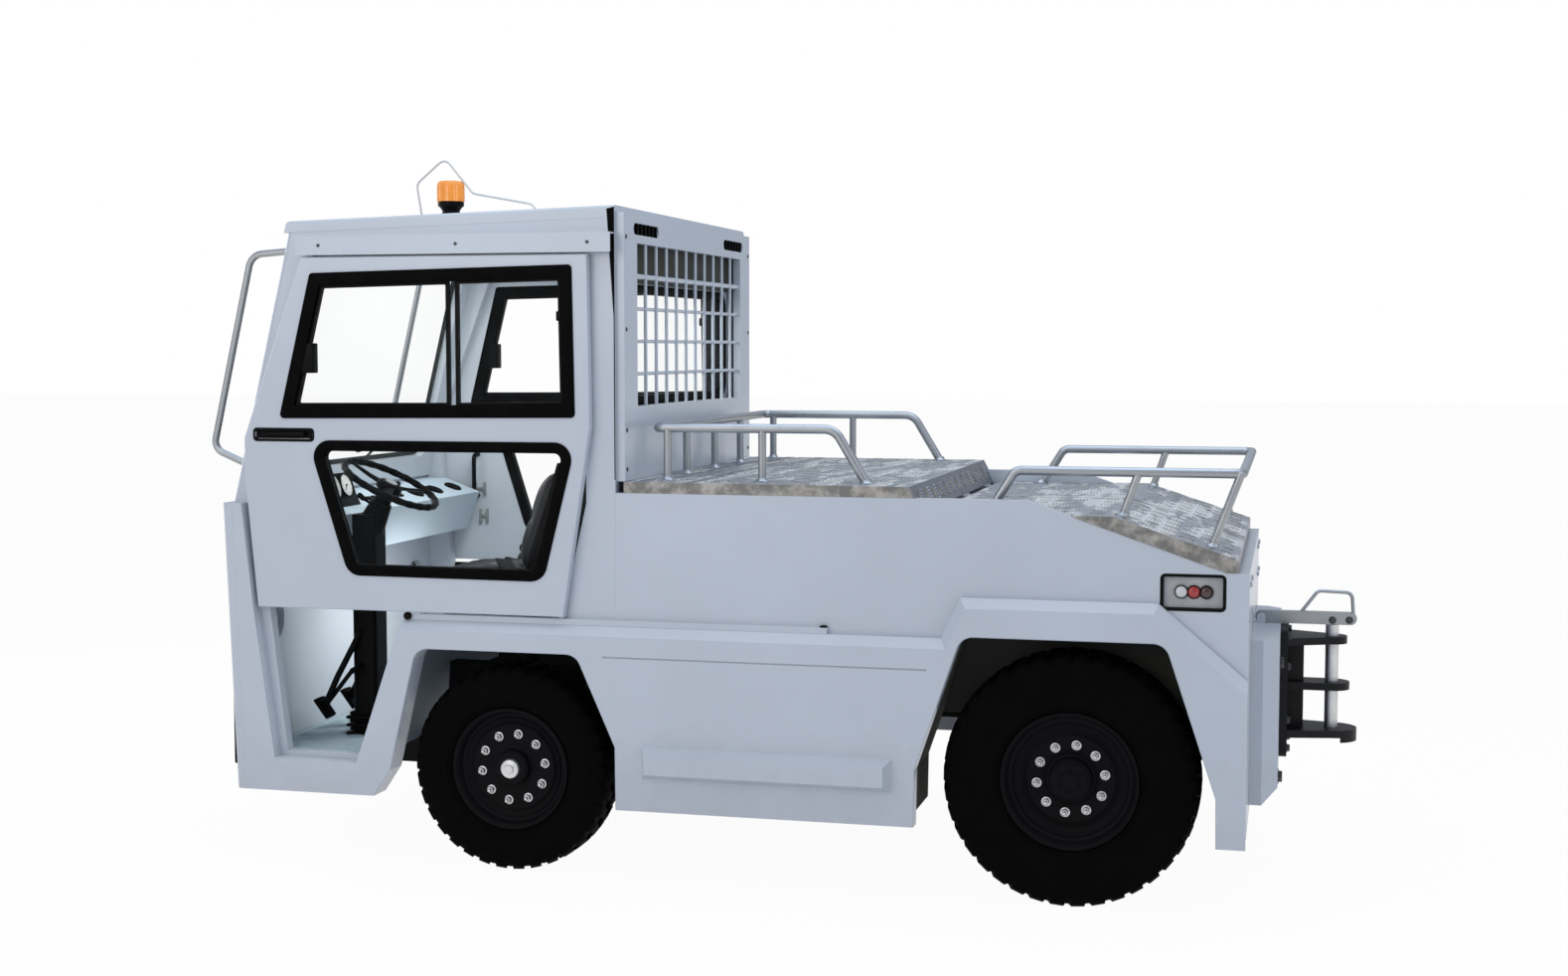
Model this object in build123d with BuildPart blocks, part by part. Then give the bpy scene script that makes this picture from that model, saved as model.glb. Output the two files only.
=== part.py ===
from build123d import *
import math
import os

os.makedirs("parts", exist_ok=True)

# Axes: X to the rear, Y to the right, Z up. Millimetres, ground at Z 0.

# Wheels and axles
wheelbase = 1850.0
front_reach = 1137.0        # front axle to the grab rails' foremost point
rear_reach = 877.5          # rear axle to the tip of the lowest jaw
front_axle_x = (front_reach - rear_reach - wheelbase) / 2
rear_axle_x = front_axle_x + wheelbase
front_tyre_r = 345.0
front_tyre_w = 190.0
front_rim_r = 190.0
rear_tyre_r = 400.0
rear_tyre_w = 215.0
rear_rim_r = 203.0
steer_arm = 130.0           # kingpin to track rod, behind the axle
running_gap = 0.3           # between faces that seat on or turn against each other
moving_gap = 5.0            # between pieces that pass each other
shaft_play = 0.05           # round a shaft that turns in its hole

# Body widths and levels
upper_half = 788.0          # outer face of the cab and the rear body sides
ledge_width = 52.0          # how far the lower body stands out from them
skirt_half = upper_half + ledge_width
tyre_inset = 28.0           # outer sidewall of every tyre, inside the lower body's face
tyre_outer_y = skirt_half - tyre_inset
kingpin_y = tyre_outer_y - 212
wall = 40.0                 # cab and body walls, skin to lining
edge_break = 3.0            # small bevel on the outer edges of the panels
body_bottom_z = 238.0
ledge_z = 835.0             # top of the lower body beside the doors
flare_z = 965.0             # top of the rear wheel flare
belt_z = 1215.0             # top of the nose, foot of the windscreen frame
deck_side_z = 1270.0        # top edge of the rear body sides

# Cab, measured from the front axle
nose_top_dx = -1023.0
nose_bottom_dx = -985.0
screen_foot_dx = -1008.0
roof_front_dx = -795.0
cab_rear_dx = 372.0
roof_front_z = 2165.0
roof_rear_z = 2200.0
roof_thick = 40.0
floor_z = 365.0             # foot floor
platform_z = 795.0          # seat platform over the front wheels
floor_thick = 20.0

# Rear body, measured from the rear axle
tail_dx = 535.0
lid_hinge_dx = -455.0
side_slope_dx = -140.0      # where the side's top edge starts to fall
side_foot_dx = 467.0        # where it levels out again
side_tail_z = 1061.0        # height of that edge at the tail

# Sliding doors
door_gap = 7.0              # body side to the door's inner face
door_thick = 32.0
door_travel = 850.0

# Deck rails
rail_tube_r = 15.0
rail_post_r = 13.0
rail_y = upper_half - 98
front_rail_z = 1480.0
rear_rail_z = 1357.0

# Towing gear
weight_depth = 89.0         # counterweight, behind the rear panel
weight_half = 450.0
weight_bottom_z = 281.0
weight_top_z = 812.0
jaw_thick = 25.0
jaw_levels = (440.0, 595.0, 750.0)   # underside of each jaw plate
tow_pin_r = 22.0
jaw_nose = 84.5             # tow pin to the tip of the lowest jaw
pin_dx = rear_reach - jaw_nose

nose_x = front_axle_x + nose_top_dx
cab_rear_x = front_axle_x + cab_rear_dx
tail_x = rear_axle_x + tail_dx
door_in = upper_half + door_gap
door_out = door_in + door_thick


def export(part, name):
    part.label = name
    export_step(part, f"parts/{name}.step")


def from_front(table):
    return [(front_axle_x + dx, z) for dx, z in table]


def from_rear(table):
    return [(rear_axle_x + dx, z) for dx, z in table]


def side_slab(outline, inner, outer, corners=(), radius=0.0):
    """A panel seen from the side, on the left between two distances from the middle, some corners rounded."""
    with BuildPart() as slab:
        with BuildSketch(Plane.XZ.offset(inner)) as face:
            with BuildLine():
                Polyline(*outline, close=True)
            make_face()
            for corner in corners:
                fillet(face.vertices().sort_by_distance(corner)[0], radius=radius)
        extrude(amount=outer - inner)
    return slab.part


def cross_slab(outline, half):
    """A piece of one side profile across the whole width."""
    return side_slab(outline, -half, half)


def edges_on(shape, path, y, within=1.0):
    """Edges of a shape whose middles lie near the middles of the runs of a path in a side plane."""
    middles = [Vector((a[0] + b[0]) / 2, y, (a[1] + b[1]) / 2) for a, b in zip(path, path[1:])]
    return [e for e in shape.edges() if any((e.center() - m).length < within for m in middles)]


def round_edges(shape, corners, y, within=30.0):
    """Curved edges of a shape near some corners in a side plane."""
    spots = [Vector(x, y, z) for x, z in corners]
    return [e for e in shape.edges().filter_by(GeomType.CIRCLE)
            if any((e.center() - spot).length < within for spot in spots)]


def right_hand(part):
    """The same piece for the right side."""
    return mirror(part, about=Plane.XZ)


def strut(start, end, r):
    """A round bar from one point to another."""
    run = Vector(*end) - Vector(*start)
    with BuildPart() as bar:
        with BuildSketch(Plane(origin=start, z_dir=run)):
            Circle(r)
        extrude(amount=run.length)
    return bar.part


def tube(points, radii, r):
    """A round tube along straight runs with bends of the given radii."""
    with BuildPart() as pipe:
        with BuildLine() as route:
            FilletPolyline(*points, radius=radii)
        start = route.line
        with BuildSketch(Plane(origin=start @ 0, z_dir=start % 0)):
            Circle(r)
        sweep(path=start)
    return pipe.part


# Arches: offset from the axle and height, from the front foot over the top to the rear foot
front_arch = from_front([(-472, body_bottom_z), (-413, 327), (-315, 742),
                         (248, 742), (381, 444), (383, body_bottom_z)])
rear_arch = from_rear([(-482, body_bottom_z), (-479, 421), (-334, 845),
                       (290, 845), (445, 378), (447, body_bottom_z)])
front_crown = front_arch[2:4]
rear_crown = rear_arch[2:4]
crown_radius = 52.0

# Line of the nose, and of the wall behind it
nose_top = (nose_x, belt_z)
nose_foot = (front_axle_x + nose_bottom_dx, body_bottom_z)
nose_inner_top = (nose_x + wall, belt_z)
nose_inner_foot = (nose_foot[0] + wall, body_bottom_z)

# Lower body sides: the post, the step, both arches, the flare and the ledge
door_sill_z = 865.0
step_sill_z = 345.0
step_front = from_front([(-909, belt_z - 345), (-838, step_sill_z + 5)])
step_rear = from_front([(-536, step_sill_z), (-367, ledge_z)])
post_top_x = front_axle_x - 947
flare = from_rear([(-402, ledge_z), (-341, flare_z), (265, flare_z)])
tail_edge = [(tail_x, 735.0), (tail_x, body_bottom_z - 12)]
skirt_outline = (
    [(nose_inner_foot[0] + running_gap, body_bottom_z)]
    + front_arch + rear_arch[:-1]
    + [(rear_arch[-1][0], body_bottom_z - 12)]
    + tail_edge[::-1] + flare[::-1]
    + step_rear[::-1] + step_front[::-1]
    + [(post_top_x, belt_z), (nose_inner_top[0] + running_gap, belt_z)]
)
skirt_inner = upper_half + running_gap
ledge_bevel = 30.0
step_box = dict(front=474.0, rear=1299.0, low=347.0, high=452.0, out=45.0)
seam_z = 738.0
seam = 5.0

with BuildPart() as side_skirts:
    add(side_slab(skirt_outline, skirt_inner, skirt_half, front_crown + rear_crown, crown_radius))
    ledge_path = [step_rear[1]] + flare + [tail_edge[0]]
    chamfer(edges_on(side_skirts.part, ledge_path, -skirt_half), length=ledge_bevel)
    arch_runs = (edges_on(side_skirts.part, front_arch, -skirt_half, crown_radius / 2)
                 + edges_on(side_skirts.part, rear_arch, -skirt_half, crown_radius / 2)
                 + round_edges(side_skirts.part, front_crown + rear_crown, -skirt_half))
    chamfer(arch_runs, length=edge_break)
    with BuildSketch(Plane.XZ.offset(skirt_half)):
        with Locations((front_axle_x + (step_box["front"] + step_box["rear"]) / 2,
                        (step_box["low"] + step_box["high"]) / 2)):
            Rectangle(step_box["rear"] - step_box["front"], step_box["high"] - step_box["low"])
    extrude(amount=step_box["out"], taper=25)
    with BuildSketch(Plane.XZ.offset(skirt_half - seam)):
        with Locations(((front_arch[-1][0] + rear_arch[0][0]) / 2, seam_z)):
            Rectangle(rear_arch[0][0] - front_arch[-1][0] + 2 * wall, seam)
    extrude(amount=seam, mode=Mode.SUBTRACT)
    mirror(about=Plane.XZ)
export(side_skirts.part, "side_skirts")

# Housings over the rear wheels, and flaps behind the front wheels
liner_gap = 3.0
liner_thick = 6.0
liner_in = kingpin_y - 40
liner_wall_z = 560.0        # foot of the housing's inner wall, over the axle tube
flap_x = front_axle_x + 440


def arch_sketch(arch, grow):
    """Everything under a wheel arch, grown by an offset."""
    with BuildSketch() as under:
        with BuildLine():
            Polyline(*arch, close=True)
        make_face()
        for corner in arch[2:4]:
            fillet(under.vertices().sort_by_distance(corner)[0], radius=crown_radius)
        offset(amount=grow)
    return under.sketch


with BuildPart() as wheel_housings:
    with BuildSketch(Plane.XZ.offset(liner_in)):
        add(arch_sketch(rear_arch, liner_gap + liner_thick))
        add(arch_sketch(rear_arch, liner_gap), mode=Mode.SUBTRACT)
    extrude(amount=skirt_inner - running_gap - liner_in)
    split(bisect_by=Plane.XY.offset(body_bottom_z + wall), keep=Keep.TOP)
    with BuildSketch(Plane.XZ.offset(liner_in)) as inner_wall:
        add(arch_sketch(rear_arch, liner_gap + 1))
        split(bisect_by=Plane.XZ.offset(-liner_wall_z), keep=Keep.BOTTOM)
    extrude(inner_wall.sketch, amount=liner_thick)
    add(side_slab([(flap_x, body_bottom_z + wall), (flap_x + liner_thick, body_bottom_z + wall),
                   (flap_x + liner_thick, ledge_z), (flap_x, ledge_z)],
                  kingpin_y - 220, upper_half - wall - running_gap))
    mirror(about=Plane.XZ)
export(wheel_housings.part, "wheel_housings")

# Nose: front wall with rounded corners, headlamp wells and the bumper pad's seat
lamp_z = 790.0
lamp_y = skirt_half - 240
lamp_r = 85.0
corner_r = 25.0
nose_outline = [nose_foot, nose_top, nose_inner_top, nose_inner_foot]
with BuildPart() as nose_panel:
    add(cross_slab(nose_outline, skirt_half))
    fillet(nose_panel.faces().sort_by(Axis.X)[0].edges().filter_by(
        lambda e: abs(e.center().Y) > skirt_half - 1), radius=corner_r)
    for side in (-1, 1):
        with BuildSketch(Plane(origin=(nose_x - wall, side * lamp_y, lamp_z), x_dir=(0, 1, 0),
                               z_dir=(1, 0, 0))):
            Circle(lamp_r)
        extrude(amount=3 * wall, mode=Mode.SUBTRACT)
export(nose_panel.part, "nose_panel")


def nose_line_x(z):
    """Outer face of the nose at a height."""
    return nose_foot[0] + (nose_top[0] - nose_foot[0]) * (z - nose_foot[1]) / (nose_top[1] - nose_foot[1])


pad = dict(low=295.0, high=587.0, thick=34.0, half=760.0)
with BuildPart() as bumper_pad:
    pad_line = [(nose_line_x(pad["low"]) - running_gap, pad["low"]),
                (nose_line_x(pad["high"]) - running_gap, pad["high"])]
    add(cross_slab(pad_line + [(nose_line_x(pad["high"]) - pad["thick"], pad["high"] - 12),
                               (nose_line_x(pad["high"]) - pad["thick"], pad["low"] + 12)],
                   pad["half"]))
export(bumper_pad.part, "bumper_pad")

# Cab floor: foot floor, sloping bulkhead ahead of the front wheels, seat platform
bulkhead = from_front([(-522, floor_z - floor_thick), (-362, platform_z - floor_thick - 3)])
cab_half = upper_half - wall - running_gap
with BuildPart() as cab_floor:
    add(cross_slab(
        [(nose_inner_foot[0] + running_gap, floor_z - floor_thick)] + bulkhead
        + [(cab_rear_x, bulkhead[1][1]), (cab_rear_x, platform_z),
           (bulkhead[1][0] - 16, platform_z), (bulkhead[0][0] - 16, floor_z),
           (nose_inner_foot[0] + running_gap, floor_z)], cab_half))
export(cab_floor.part, "cab_floor")

# Cab side frame: one ring round the doorway, with the front arch cut into its foot
roof_under = [(front_axle_x + roof_front_dx + 8, roof_front_z - roof_thick - running_gap),
              (cab_rear_x, roof_rear_z - roof_thick - running_gap)]
screen_foot = (front_axle_x + screen_foot_dx, belt_z + running_gap)
door_head_z = roof_front_z - 153
doorway = (
    from_front([(-695, door_head_z), (272, door_head_z + 6)])
    + from_front([(272, 1235), (172, platform_z + 4), (-385, platform_z + 4)])
    + [(step_rear[0][0] - 2, floor_z), (front_axle_x - 815, floor_z)]
    + from_front([(-872, 845), (-915, 1262), (-915, 1440)])
)
side_outline = (
    [(nose_inner_foot[0] + running_gap, body_bottom_z)]
    + front_arch[:3]
    + [(cab_rear_x, front_arch[2][1])]
    + roof_under[::-1]
    + [screen_foot, (nose_inner_top[0] + running_gap, belt_z + running_gap),
       (nose_inner_top[0] + running_gap, belt_z)]
)
post_radius = 20.0
with BuildPart() as cab_sides:
    add(side_slab(side_outline, upper_half - wall, upper_half, front_crown[:1], crown_radius))
    fillet(edges_on(cab_sides.part, [roof_under[0], screen_foot], -upper_half), radius=post_radius)
    with BuildSketch(Plane.XZ.offset(upper_half - 2 * wall)):
        with BuildLine():
            Polyline(*doorway, close=True)
        make_face()
    extrude(amount=3 * wall, mode=Mode.SUBTRACT)
    mirror(about=Plane.XZ)
export(cab_sides.part, "cab_sides")

# Windscreen frame between the side frames, and its glass
screen_top = roof_under[0]
screen_run = Vector(screen_top[0] - screen_foot[0], 0, screen_top[1] - screen_foot[1])
screen_dir = screen_run.normalized()
screen_in = Vector(screen_dir.Z, 0, -screen_dir.X)
screen_plane = Plane(origin=(screen_foot[0], 0, screen_foot[1]), x_dir=(0, -1, 0),
                     z_dir=(-screen_in.X, 0, -screen_in.Z))
screen_border = dict(side=85.0, low=95.0, high=75.0, radius=60.0)
glass_thick = 6.0


def screen_face(inset):
    """The windscreen's rounded outline, in the frame's own plane."""
    low = screen_border["low"] + inset
    high = screen_run.length - screen_border["high"] - inset
    with Locations((0, (low + high) / 2)):
        RectangleRounded(2 * (cab_half - screen_border["side"] - inset), high - low,
                         screen_border["radius"])


with BuildPart() as cab_front_frame:
    add(cross_slab([screen_foot, screen_top,
                    (screen_top[0] + wall, screen_top[1]), (screen_foot[0] + wall, screen_foot[1])],
                   cab_half))
    with BuildSketch(screen_plane):
        screen_face(0)
    extrude(amount=-3 * wall, both=True, mode=Mode.SUBTRACT)
export(cab_front_frame.part, "cab_front_frame")



def roof_z(dx):
    """Upper face of the roof at a distance from the front axle."""
    return roof_front_z + (roof_rear_z - roof_front_z) * (dx - roof_front_dx - 8) / (
        cab_rear_dx - roof_front_dx - 8)


# Roof panel with a turned-down rim
roof_line = [(front_axle_x + roof_front_dx - 2, roof_front_z - roof_thick),
             (front_axle_x + roof_front_dx + 8, roof_front_z),
             (cab_rear_x, roof_rear_z), (cab_rear_x, roof_rear_z - roof_thick)]
with BuildPart() as cab_roof:
    add(cross_slab(roof_line, upper_half))
    fillet(cab_roof.faces().sort_by(Axis.Z)[-1].edges().filter_by(
        lambda e: e.center().X < cab_rear_x - 10), radius=14)
export(cab_roof.part, "cab_roof")

# Rear wall of the cab with its window
rear_wall_x = cab_rear_x - 62
rear_wall_thick = 32.0
window = dict(half=upper_half - 178, low=1560.0, high=1940.0, radius=50.0)
with BuildPart() as cab_rear_wall:
    with BuildSketch(Plane.YZ.offset(rear_wall_x)):
        with Locations((0, (platform_z + roof_under[0][1]) / 2)):
            Rectangle(2 * cab_half, roof_under[0][1] - platform_z - 2 * running_gap)
        with Locations((0, (window["low"] + window["high"]) / 2)):
            RectangleRounded(2 * window["half"], window["high"] - window["low"],
                             window["radius"], mode=Mode.SUBTRACT)
    extrude(amount=rear_wall_thick)
    with BuildSketch(Plane.XZ.offset(-cab_half)):
        with BuildLine():
            Polyline((rear_wall_x, roof_under[0][1] - 1), (rear_wall_x + rear_wall_thick, roof_under[0][1] - 1),
                     (rear_wall_x + rear_wall_thick, roof_z(rear_wall_x + rear_wall_thick - front_axle_x) - roof_thick - 2),
                     (rear_wall_x, roof_z(rear_wall_x - front_axle_x) - roof_thick - 3), close=True)
        make_face()
    extrude(amount=2 * cab_half)
export(cab_rear_wall.part, "cab_rear_wall")

with BuildPart() as fixed_glass:
    with BuildSketch(screen_plane.offset(-wall / 2)):
        screen_face(running_gap)
    extrude(amount=-glass_thick)
    with BuildSketch(Plane.YZ.offset(rear_wall_x + rear_wall_thick / 2)):
        with Locations((0, (window["low"] + window["high"]) / 2)):
            RectangleRounded(2 * (window["half"] - running_gap),
                             window["high"] - window["low"] - 2 * running_gap, window["radius"])
    extrude(amount=glass_thick)
export(fixed_glass.part, "fixed_glass")

# Guard behind the rear window: a framed panel with two vents and a welded grid
guard_x = cab_rear_x + running_gap
guard_thick = 28.0
guard_half = upper_half - 16
guard_low = deck_side_z + 37
guard_high = 2178.0
grid = dict(half=guard_half - 135, low=1547.0, high=2084.0, bar_r=6.0, columns=10, row_radii=(6.0, 6.0, 6.0, 9.0))
vent = dict(y=guard_half - 235, z=2130.0, long=270.0, high=38.0)
with BuildPart() as rear_guard:
    with BuildSketch(Plane.YZ.offset(guard_x)):
        with Locations((0, (guard_low + guard_high) / 2)):
            Rectangle(2 * guard_half, guard_high - guard_low)
        with Locations((0, (grid["low"] + grid["high"]) / 2)):
            Rectangle(2 * grid["half"], grid["high"] - grid["low"], mode=Mode.SUBTRACT)
        with Locations((-vent["y"], vent["z"]), (vent["y"], vent["z"])):
            SlotOverall(vent["long"], vent["high"], mode=Mode.SUBTRACT)
    extrude(amount=guard_thick)
    column_pitch = 2 * grid["half"] / (grid["columns"] + 1)
    row_pitch = (grid["high"] - grid["low"]) / (len(grid["row_radii"]) + 1)
    with BuildSketch(Plane.XY.offset(grid["low"] - 10)):
        with Locations((guard_x + guard_thick - 10, 0)):
            with GridLocations(1, column_pitch, 1, grid["columns"]):
                Circle(grid["bar_r"])
    extrude(amount=grid["high"] - grid["low"] + 20)
    with BuildSketch(Plane.XZ.offset(-grid["half"] - 10)):
        for row, bar_r in enumerate(grid["row_radii"], 1):
            with Locations((guard_x + guard_thick - 16, grid["low"] + row * row_pitch)):
                Circle(bar_r)
    extrude(amount=2 * grid["half"] + 20)
export(rear_guard.part, "rear_guard")

# Rear body sides, with a window for each tail lamp cluster
body_front_x = guard_x
side_foot_x = rear_axle_x + side_foot_dx
body_side_outline = [
    (body_front_x, ledge_z - 75), (body_front_x, deck_side_z),
    (rear_axle_x + side_slope_dx, deck_side_z), (side_foot_x, side_tail_z), (tail_x, side_tail_z),
    (tail_x, 690.0), (rear_crown[1][0] + 45, rear_crown[1][1] + 25),
    (rear_crown[0][0] - 35, rear_crown[0][1] + 25), (rear_crown[0][0] - 115, ledge_z - 75),
]
lamp_window = dict(dx=368.0, z=999.0, long=190.0, high=106.0, deep=24.0)
with BuildPart() as body_sides:
    add(side_slab(body_side_outline, upper_half - wall, upper_half))
    with BuildSketch(Plane.XZ.offset(upper_half - lamp_window["deep"])):
        with Locations((rear_axle_x + lamp_window["dx"], lamp_window["z"])):
            RectangleRounded(lamp_window["long"], lamp_window["high"], 12)
    extrude(amount=lamp_window["deep"], mode=Mode.SUBTRACT)
    mirror(about=Plane.XZ)
export(body_sides.part, "body_sides")

# Lamps: two headlamps in the nose, and three round lamps in each tail recess
lamp_depth = 60.0
lamp_bevel = 7.0
tail_lamp = dict(pitch=44.0, r=21.0, thick=13.0)
with BuildPart() as lamps:
    for side in (-1, 1):
        with BuildSketch(Plane(origin=(nose_line_x(lamp_z) + 4, side * lamp_y, lamp_z),
                               x_dir=(0, 1, 0), z_dir=(1, 0, 0))):
            Circle(lamp_r - running_gap)
        extrude(amount=lamp_depth)
    chamfer(lamps.faces().sort_by(Axis.X)[0:2].edges(), length=lamp_bevel)
    with BuildSketch(Plane.XZ.offset(upper_half - lamp_window["deep"] + running_gap)):
        with Locations((rear_axle_x + lamp_window["dx"], lamp_window["z"])):
            with GridLocations(tail_lamp["pitch"], 1, 3, 1):
                Circle(tail_lamp["r"])
    tail_solids = extrude(amount=tail_lamp["thick"])
    mirror(tail_solids, about=Plane.XZ)
export(lamps.part, "lamps")

# Rear panel and the counterweight in front of which the hitch is bolted
rear_panel_thick = 34.0
with BuildPart() as rear_panel:
    with BuildSketch(Plane.YZ.offset(tail_x - rear_panel_thick)):
        with Locations((0, (body_bottom_z + side_tail_z) / 2)):
            Rectangle(2 * cab_half, side_tail_z - body_bottom_z)
    extrude(amount=rear_panel_thick)
export(rear_panel.part, "rear_panel")

weight_bevel = 50.0
arm_half = 14.0             # the pin's arm, which turns between two lugs on top
arm_deep = 42.0
pivot_r = 6.0
pivot_x = tail_x + arm_deep / 2 + 4
pivot_z = weight_top_z + running_gap + arm_deep / 2
with BuildPart() as counterweight:
    with BuildSketch(Plane.YZ.offset(tail_x + running_gap)):
        with Locations((0, (weight_bottom_z + weight_top_z) / 2)):
            Rectangle(2 * weight_half, weight_top_z - weight_bottom_z)
    extrude(amount=weight_depth)
    rear_edges = counterweight.faces().sort_by(Axis.X)[-1].edges()
    chamfer(rear_edges.filter_by(lambda e: e.center().Z < weight_top_z - 1), length=weight_bevel)
    for y in (-arm_half - moving_gap - 12, arm_half + moving_gap):
        with BuildSketch(Plane.XZ.offset(y)):
            with Locations((pivot_x, pivot_z)):
                Circle(14)
            with Locations((pivot_x, (pivot_z + weight_top_z) / 2)):
                Rectangle(28, pivot_z - weight_top_z)
        extrude(amount=12)
    with BuildSketch(Plane.XZ.offset(-arm_half - moving_gap)):
        with Locations((pivot_x, pivot_z)):
            Circle(pivot_r)
    extrude(amount=2 * (arm_half + moving_gap))
export(counterweight.part, "counterweight")

# Hitch: back plate, three jaw plates with rounded noses, a web between them
hitch_x = tail_x + weight_depth + 2 * running_gap
hitch_plate = dict(thick=25.0, half=130.0, low=376.0, high=808.0)
jaw_root_x = hitch_x + hitch_plate["thick"]
pin_x = rear_axle_x + pin_dx
jaw_ends = (jaw_nose, 59.0, 49.0)                # pin to tip, lowest jaw first
jaw_roots = (115.0, 60.0, 115.0)                 # half width at the back plate
jaw_lip = dict(drop=16.0, thick=12.0, front=30.0)
web_length = 52.0
web_half = 30.0
pin_hole_r = tow_pin_r + 1.0
with BuildPart() as tow_hitch:
    with BuildSketch(Plane.YZ.offset(hitch_x)):
        with Locations((0, (hitch_plate["low"] + hitch_plate["high"]) / 2)):
            RectangleRounded(2 * hitch_plate["half"], hitch_plate["high"] - hitch_plate["low"], 20)
    extrude(amount=hitch_plate["thick"])
    for level, nose_r, root_half in zip(jaw_levels, jaw_ends, jaw_roots):
        with BuildSketch(Plane.XY.offset(level)):
            with BuildLine():
                Polyline((jaw_root_x, -root_half), (jaw_root_x, root_half),
                         (pin_x, nose_r), (pin_x, -nose_r), close=True)
            make_face()
            with Locations((pin_x, 0)):
                Circle(nose_r)
                Circle(pin_hole_r, mode=Mode.SUBTRACT)
        extrude(amount=jaw_thick)
    with BuildSketch(Plane.XY.offset(jaw_levels[0] - jaw_lip["drop"])):
        with Locations((pin_x, 0)):
            Circle(jaw_ends[0])
            Circle(jaw_ends[0] - jaw_lip["thick"], mode=Mode.SUBTRACT)
        with Locations((pin_x + jaw_lip["front"] + jaw_ends[0], 0)):
            Rectangle(2 * jaw_ends[0], 2 * jaw_ends[0], mode=Mode.INTERSECT)
    extrude(amount=jaw_lip["drop"])
    with BuildSketch(Plane.XY.offset(jaw_levels[0])):
        with Locations((jaw_root_x + web_length / 2, 0)):
            Rectangle(web_length, 2 * web_half)
    extrude(amount=jaw_levels[2] - jaw_levels[0])
export(tow_hitch.part, "tow_hitch")

# Towing pin, its arm lying on the counterweight, and the loop handle
arm_end_x = pin_x + 79
arm_low = pivot_z - arm_deep / 2
arm_high = pivot_z + arm_deep / 2
pin_foot_z = jaw_levels[0] - 12
with BuildPart() as tow_pin:
    with BuildSketch(Plane.XY.offset(pin_foot_z)):
        with Locations((pin_x, 0)):
            Circle(tow_pin_r)
    extrude(amount=arm_low - running_gap - pin_foot_z)
    chamfer(tow_pin.faces().sort_by(Axis.Z)[0].edges(), length=8)
export(tow_pin.part, "tow_pin")

handle_r = 6.0
handle_points = [(pin_x - 103, 0, arm_high - 4), (pin_x - 48, 0, arm_high + 70),
                 (pin_x + 62, 0, arm_high + 66), (pin_x + 67, 0, arm_high - 4)]
with BuildPart() as pin_arm:
    with BuildSketch(Plane.XZ.offset(-arm_half)):
        with Locations(((pivot_x - arm_deep / 2 + arm_end_x) / 2, pivot_z)):
            SlotOverall(arm_end_x - pivot_x + arm_deep / 2, arm_deep)
        with Locations((pivot_x, pivot_z)):
            Circle(pivot_r + shaft_play, mode=Mode.SUBTRACT)
    extrude(amount=2 * arm_half)
    add(tube(handle_points, [22, 22], handle_r))
export(pin_arm.part, "pin_arm")

# Front deck: a tread-plate tray on the body sides with a ramp at its rear end
deck_top_z = deck_side_z + 36
deck_skin = 6.0
ramp_skin = 13.0            # the same sheet measured upright through the steep ramp
lid_flat_z = 1225.5
lid_skin = 8.0
hinge = dict(r=8.0, pin=4.5, half=40.0, lug=24.0, pitch=2 * cab_half / 3)
hinge_x = rear_axle_x + lid_hinge_dx
hinge_z = lid_flat_z - lid_skin / 2
ramp_top_x = rear_axle_x - 510
ramp_foot_x = hinge_x - hinge["r"] - moving_gap
ramp_foot_z = lid_flat_z
ramp_drop = (deck_top_z - ramp_foot_z) / (ramp_foot_x - ramp_top_x)
deck_front_x = guard_x + guard_thick + running_gap
deck_low_z = deck_side_z + running_gap
wing_end_x = ramp_top_x + (deck_top_z - deck_low_z) / ramp_drop
deck_lip = wall
with BuildPart() as front_deck:
    add(cross_slab([(deck_front_x, deck_low_z), (deck_front_x, deck_top_z),
                    (ramp_top_x, deck_top_z), (wing_end_x, deck_low_z)], upper_half))
    add(cross_slab([(ramp_top_x, deck_top_z), (ramp_foot_x, ramp_foot_z),
                    (ramp_foot_x, ramp_foot_z - ramp_skin), (ramp_top_x, deck_top_z - ramp_skin)],
                   cab_half))
    add(cross_slab([(deck_front_x + deck_lip, deck_low_z - 20),
                    (deck_front_x + deck_lip, deck_top_z - deck_skin),
                    (ramp_top_x - (ramp_skin - deck_skin) / ramp_drop, deck_top_z - deck_skin),
                    (ramp_foot_x, ramp_foot_z - ramp_skin), (ramp_foot_x, ramp_foot_z - 3 * ramp_skin)],
                   upper_half - deck_lip), mode=Mode.SUBTRACT)
    for mid in (-hinge["pitch"], 0, hinge["pitch"]):
        reach = hinge["half"] + running_gap
        for low in (mid - reach - hinge["lug"], mid + reach):
            with BuildSketch(Plane.XZ.offset(-low - hinge["lug"])):
                with Locations((hinge_x, hinge_z)):
                    Circle(hinge["r"])
                with Locations(((ramp_foot_x + hinge_x) / 2 - hinge["r"] / 2, hinge_z - hinge["r"] + 3)):
                    Rectangle(hinge_x - ramp_foot_x + hinge["r"], 2 * hinge["pin"])
            extrude(amount=hinge["lug"])
        with BuildSketch(Plane.XZ.offset(-mid - reach)):
            with Locations((hinge_x, hinge_z)):
                Circle(hinge["pin"])
        extrude(amount=2 * reach)
export(front_deck.part, "front_deck")

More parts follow.
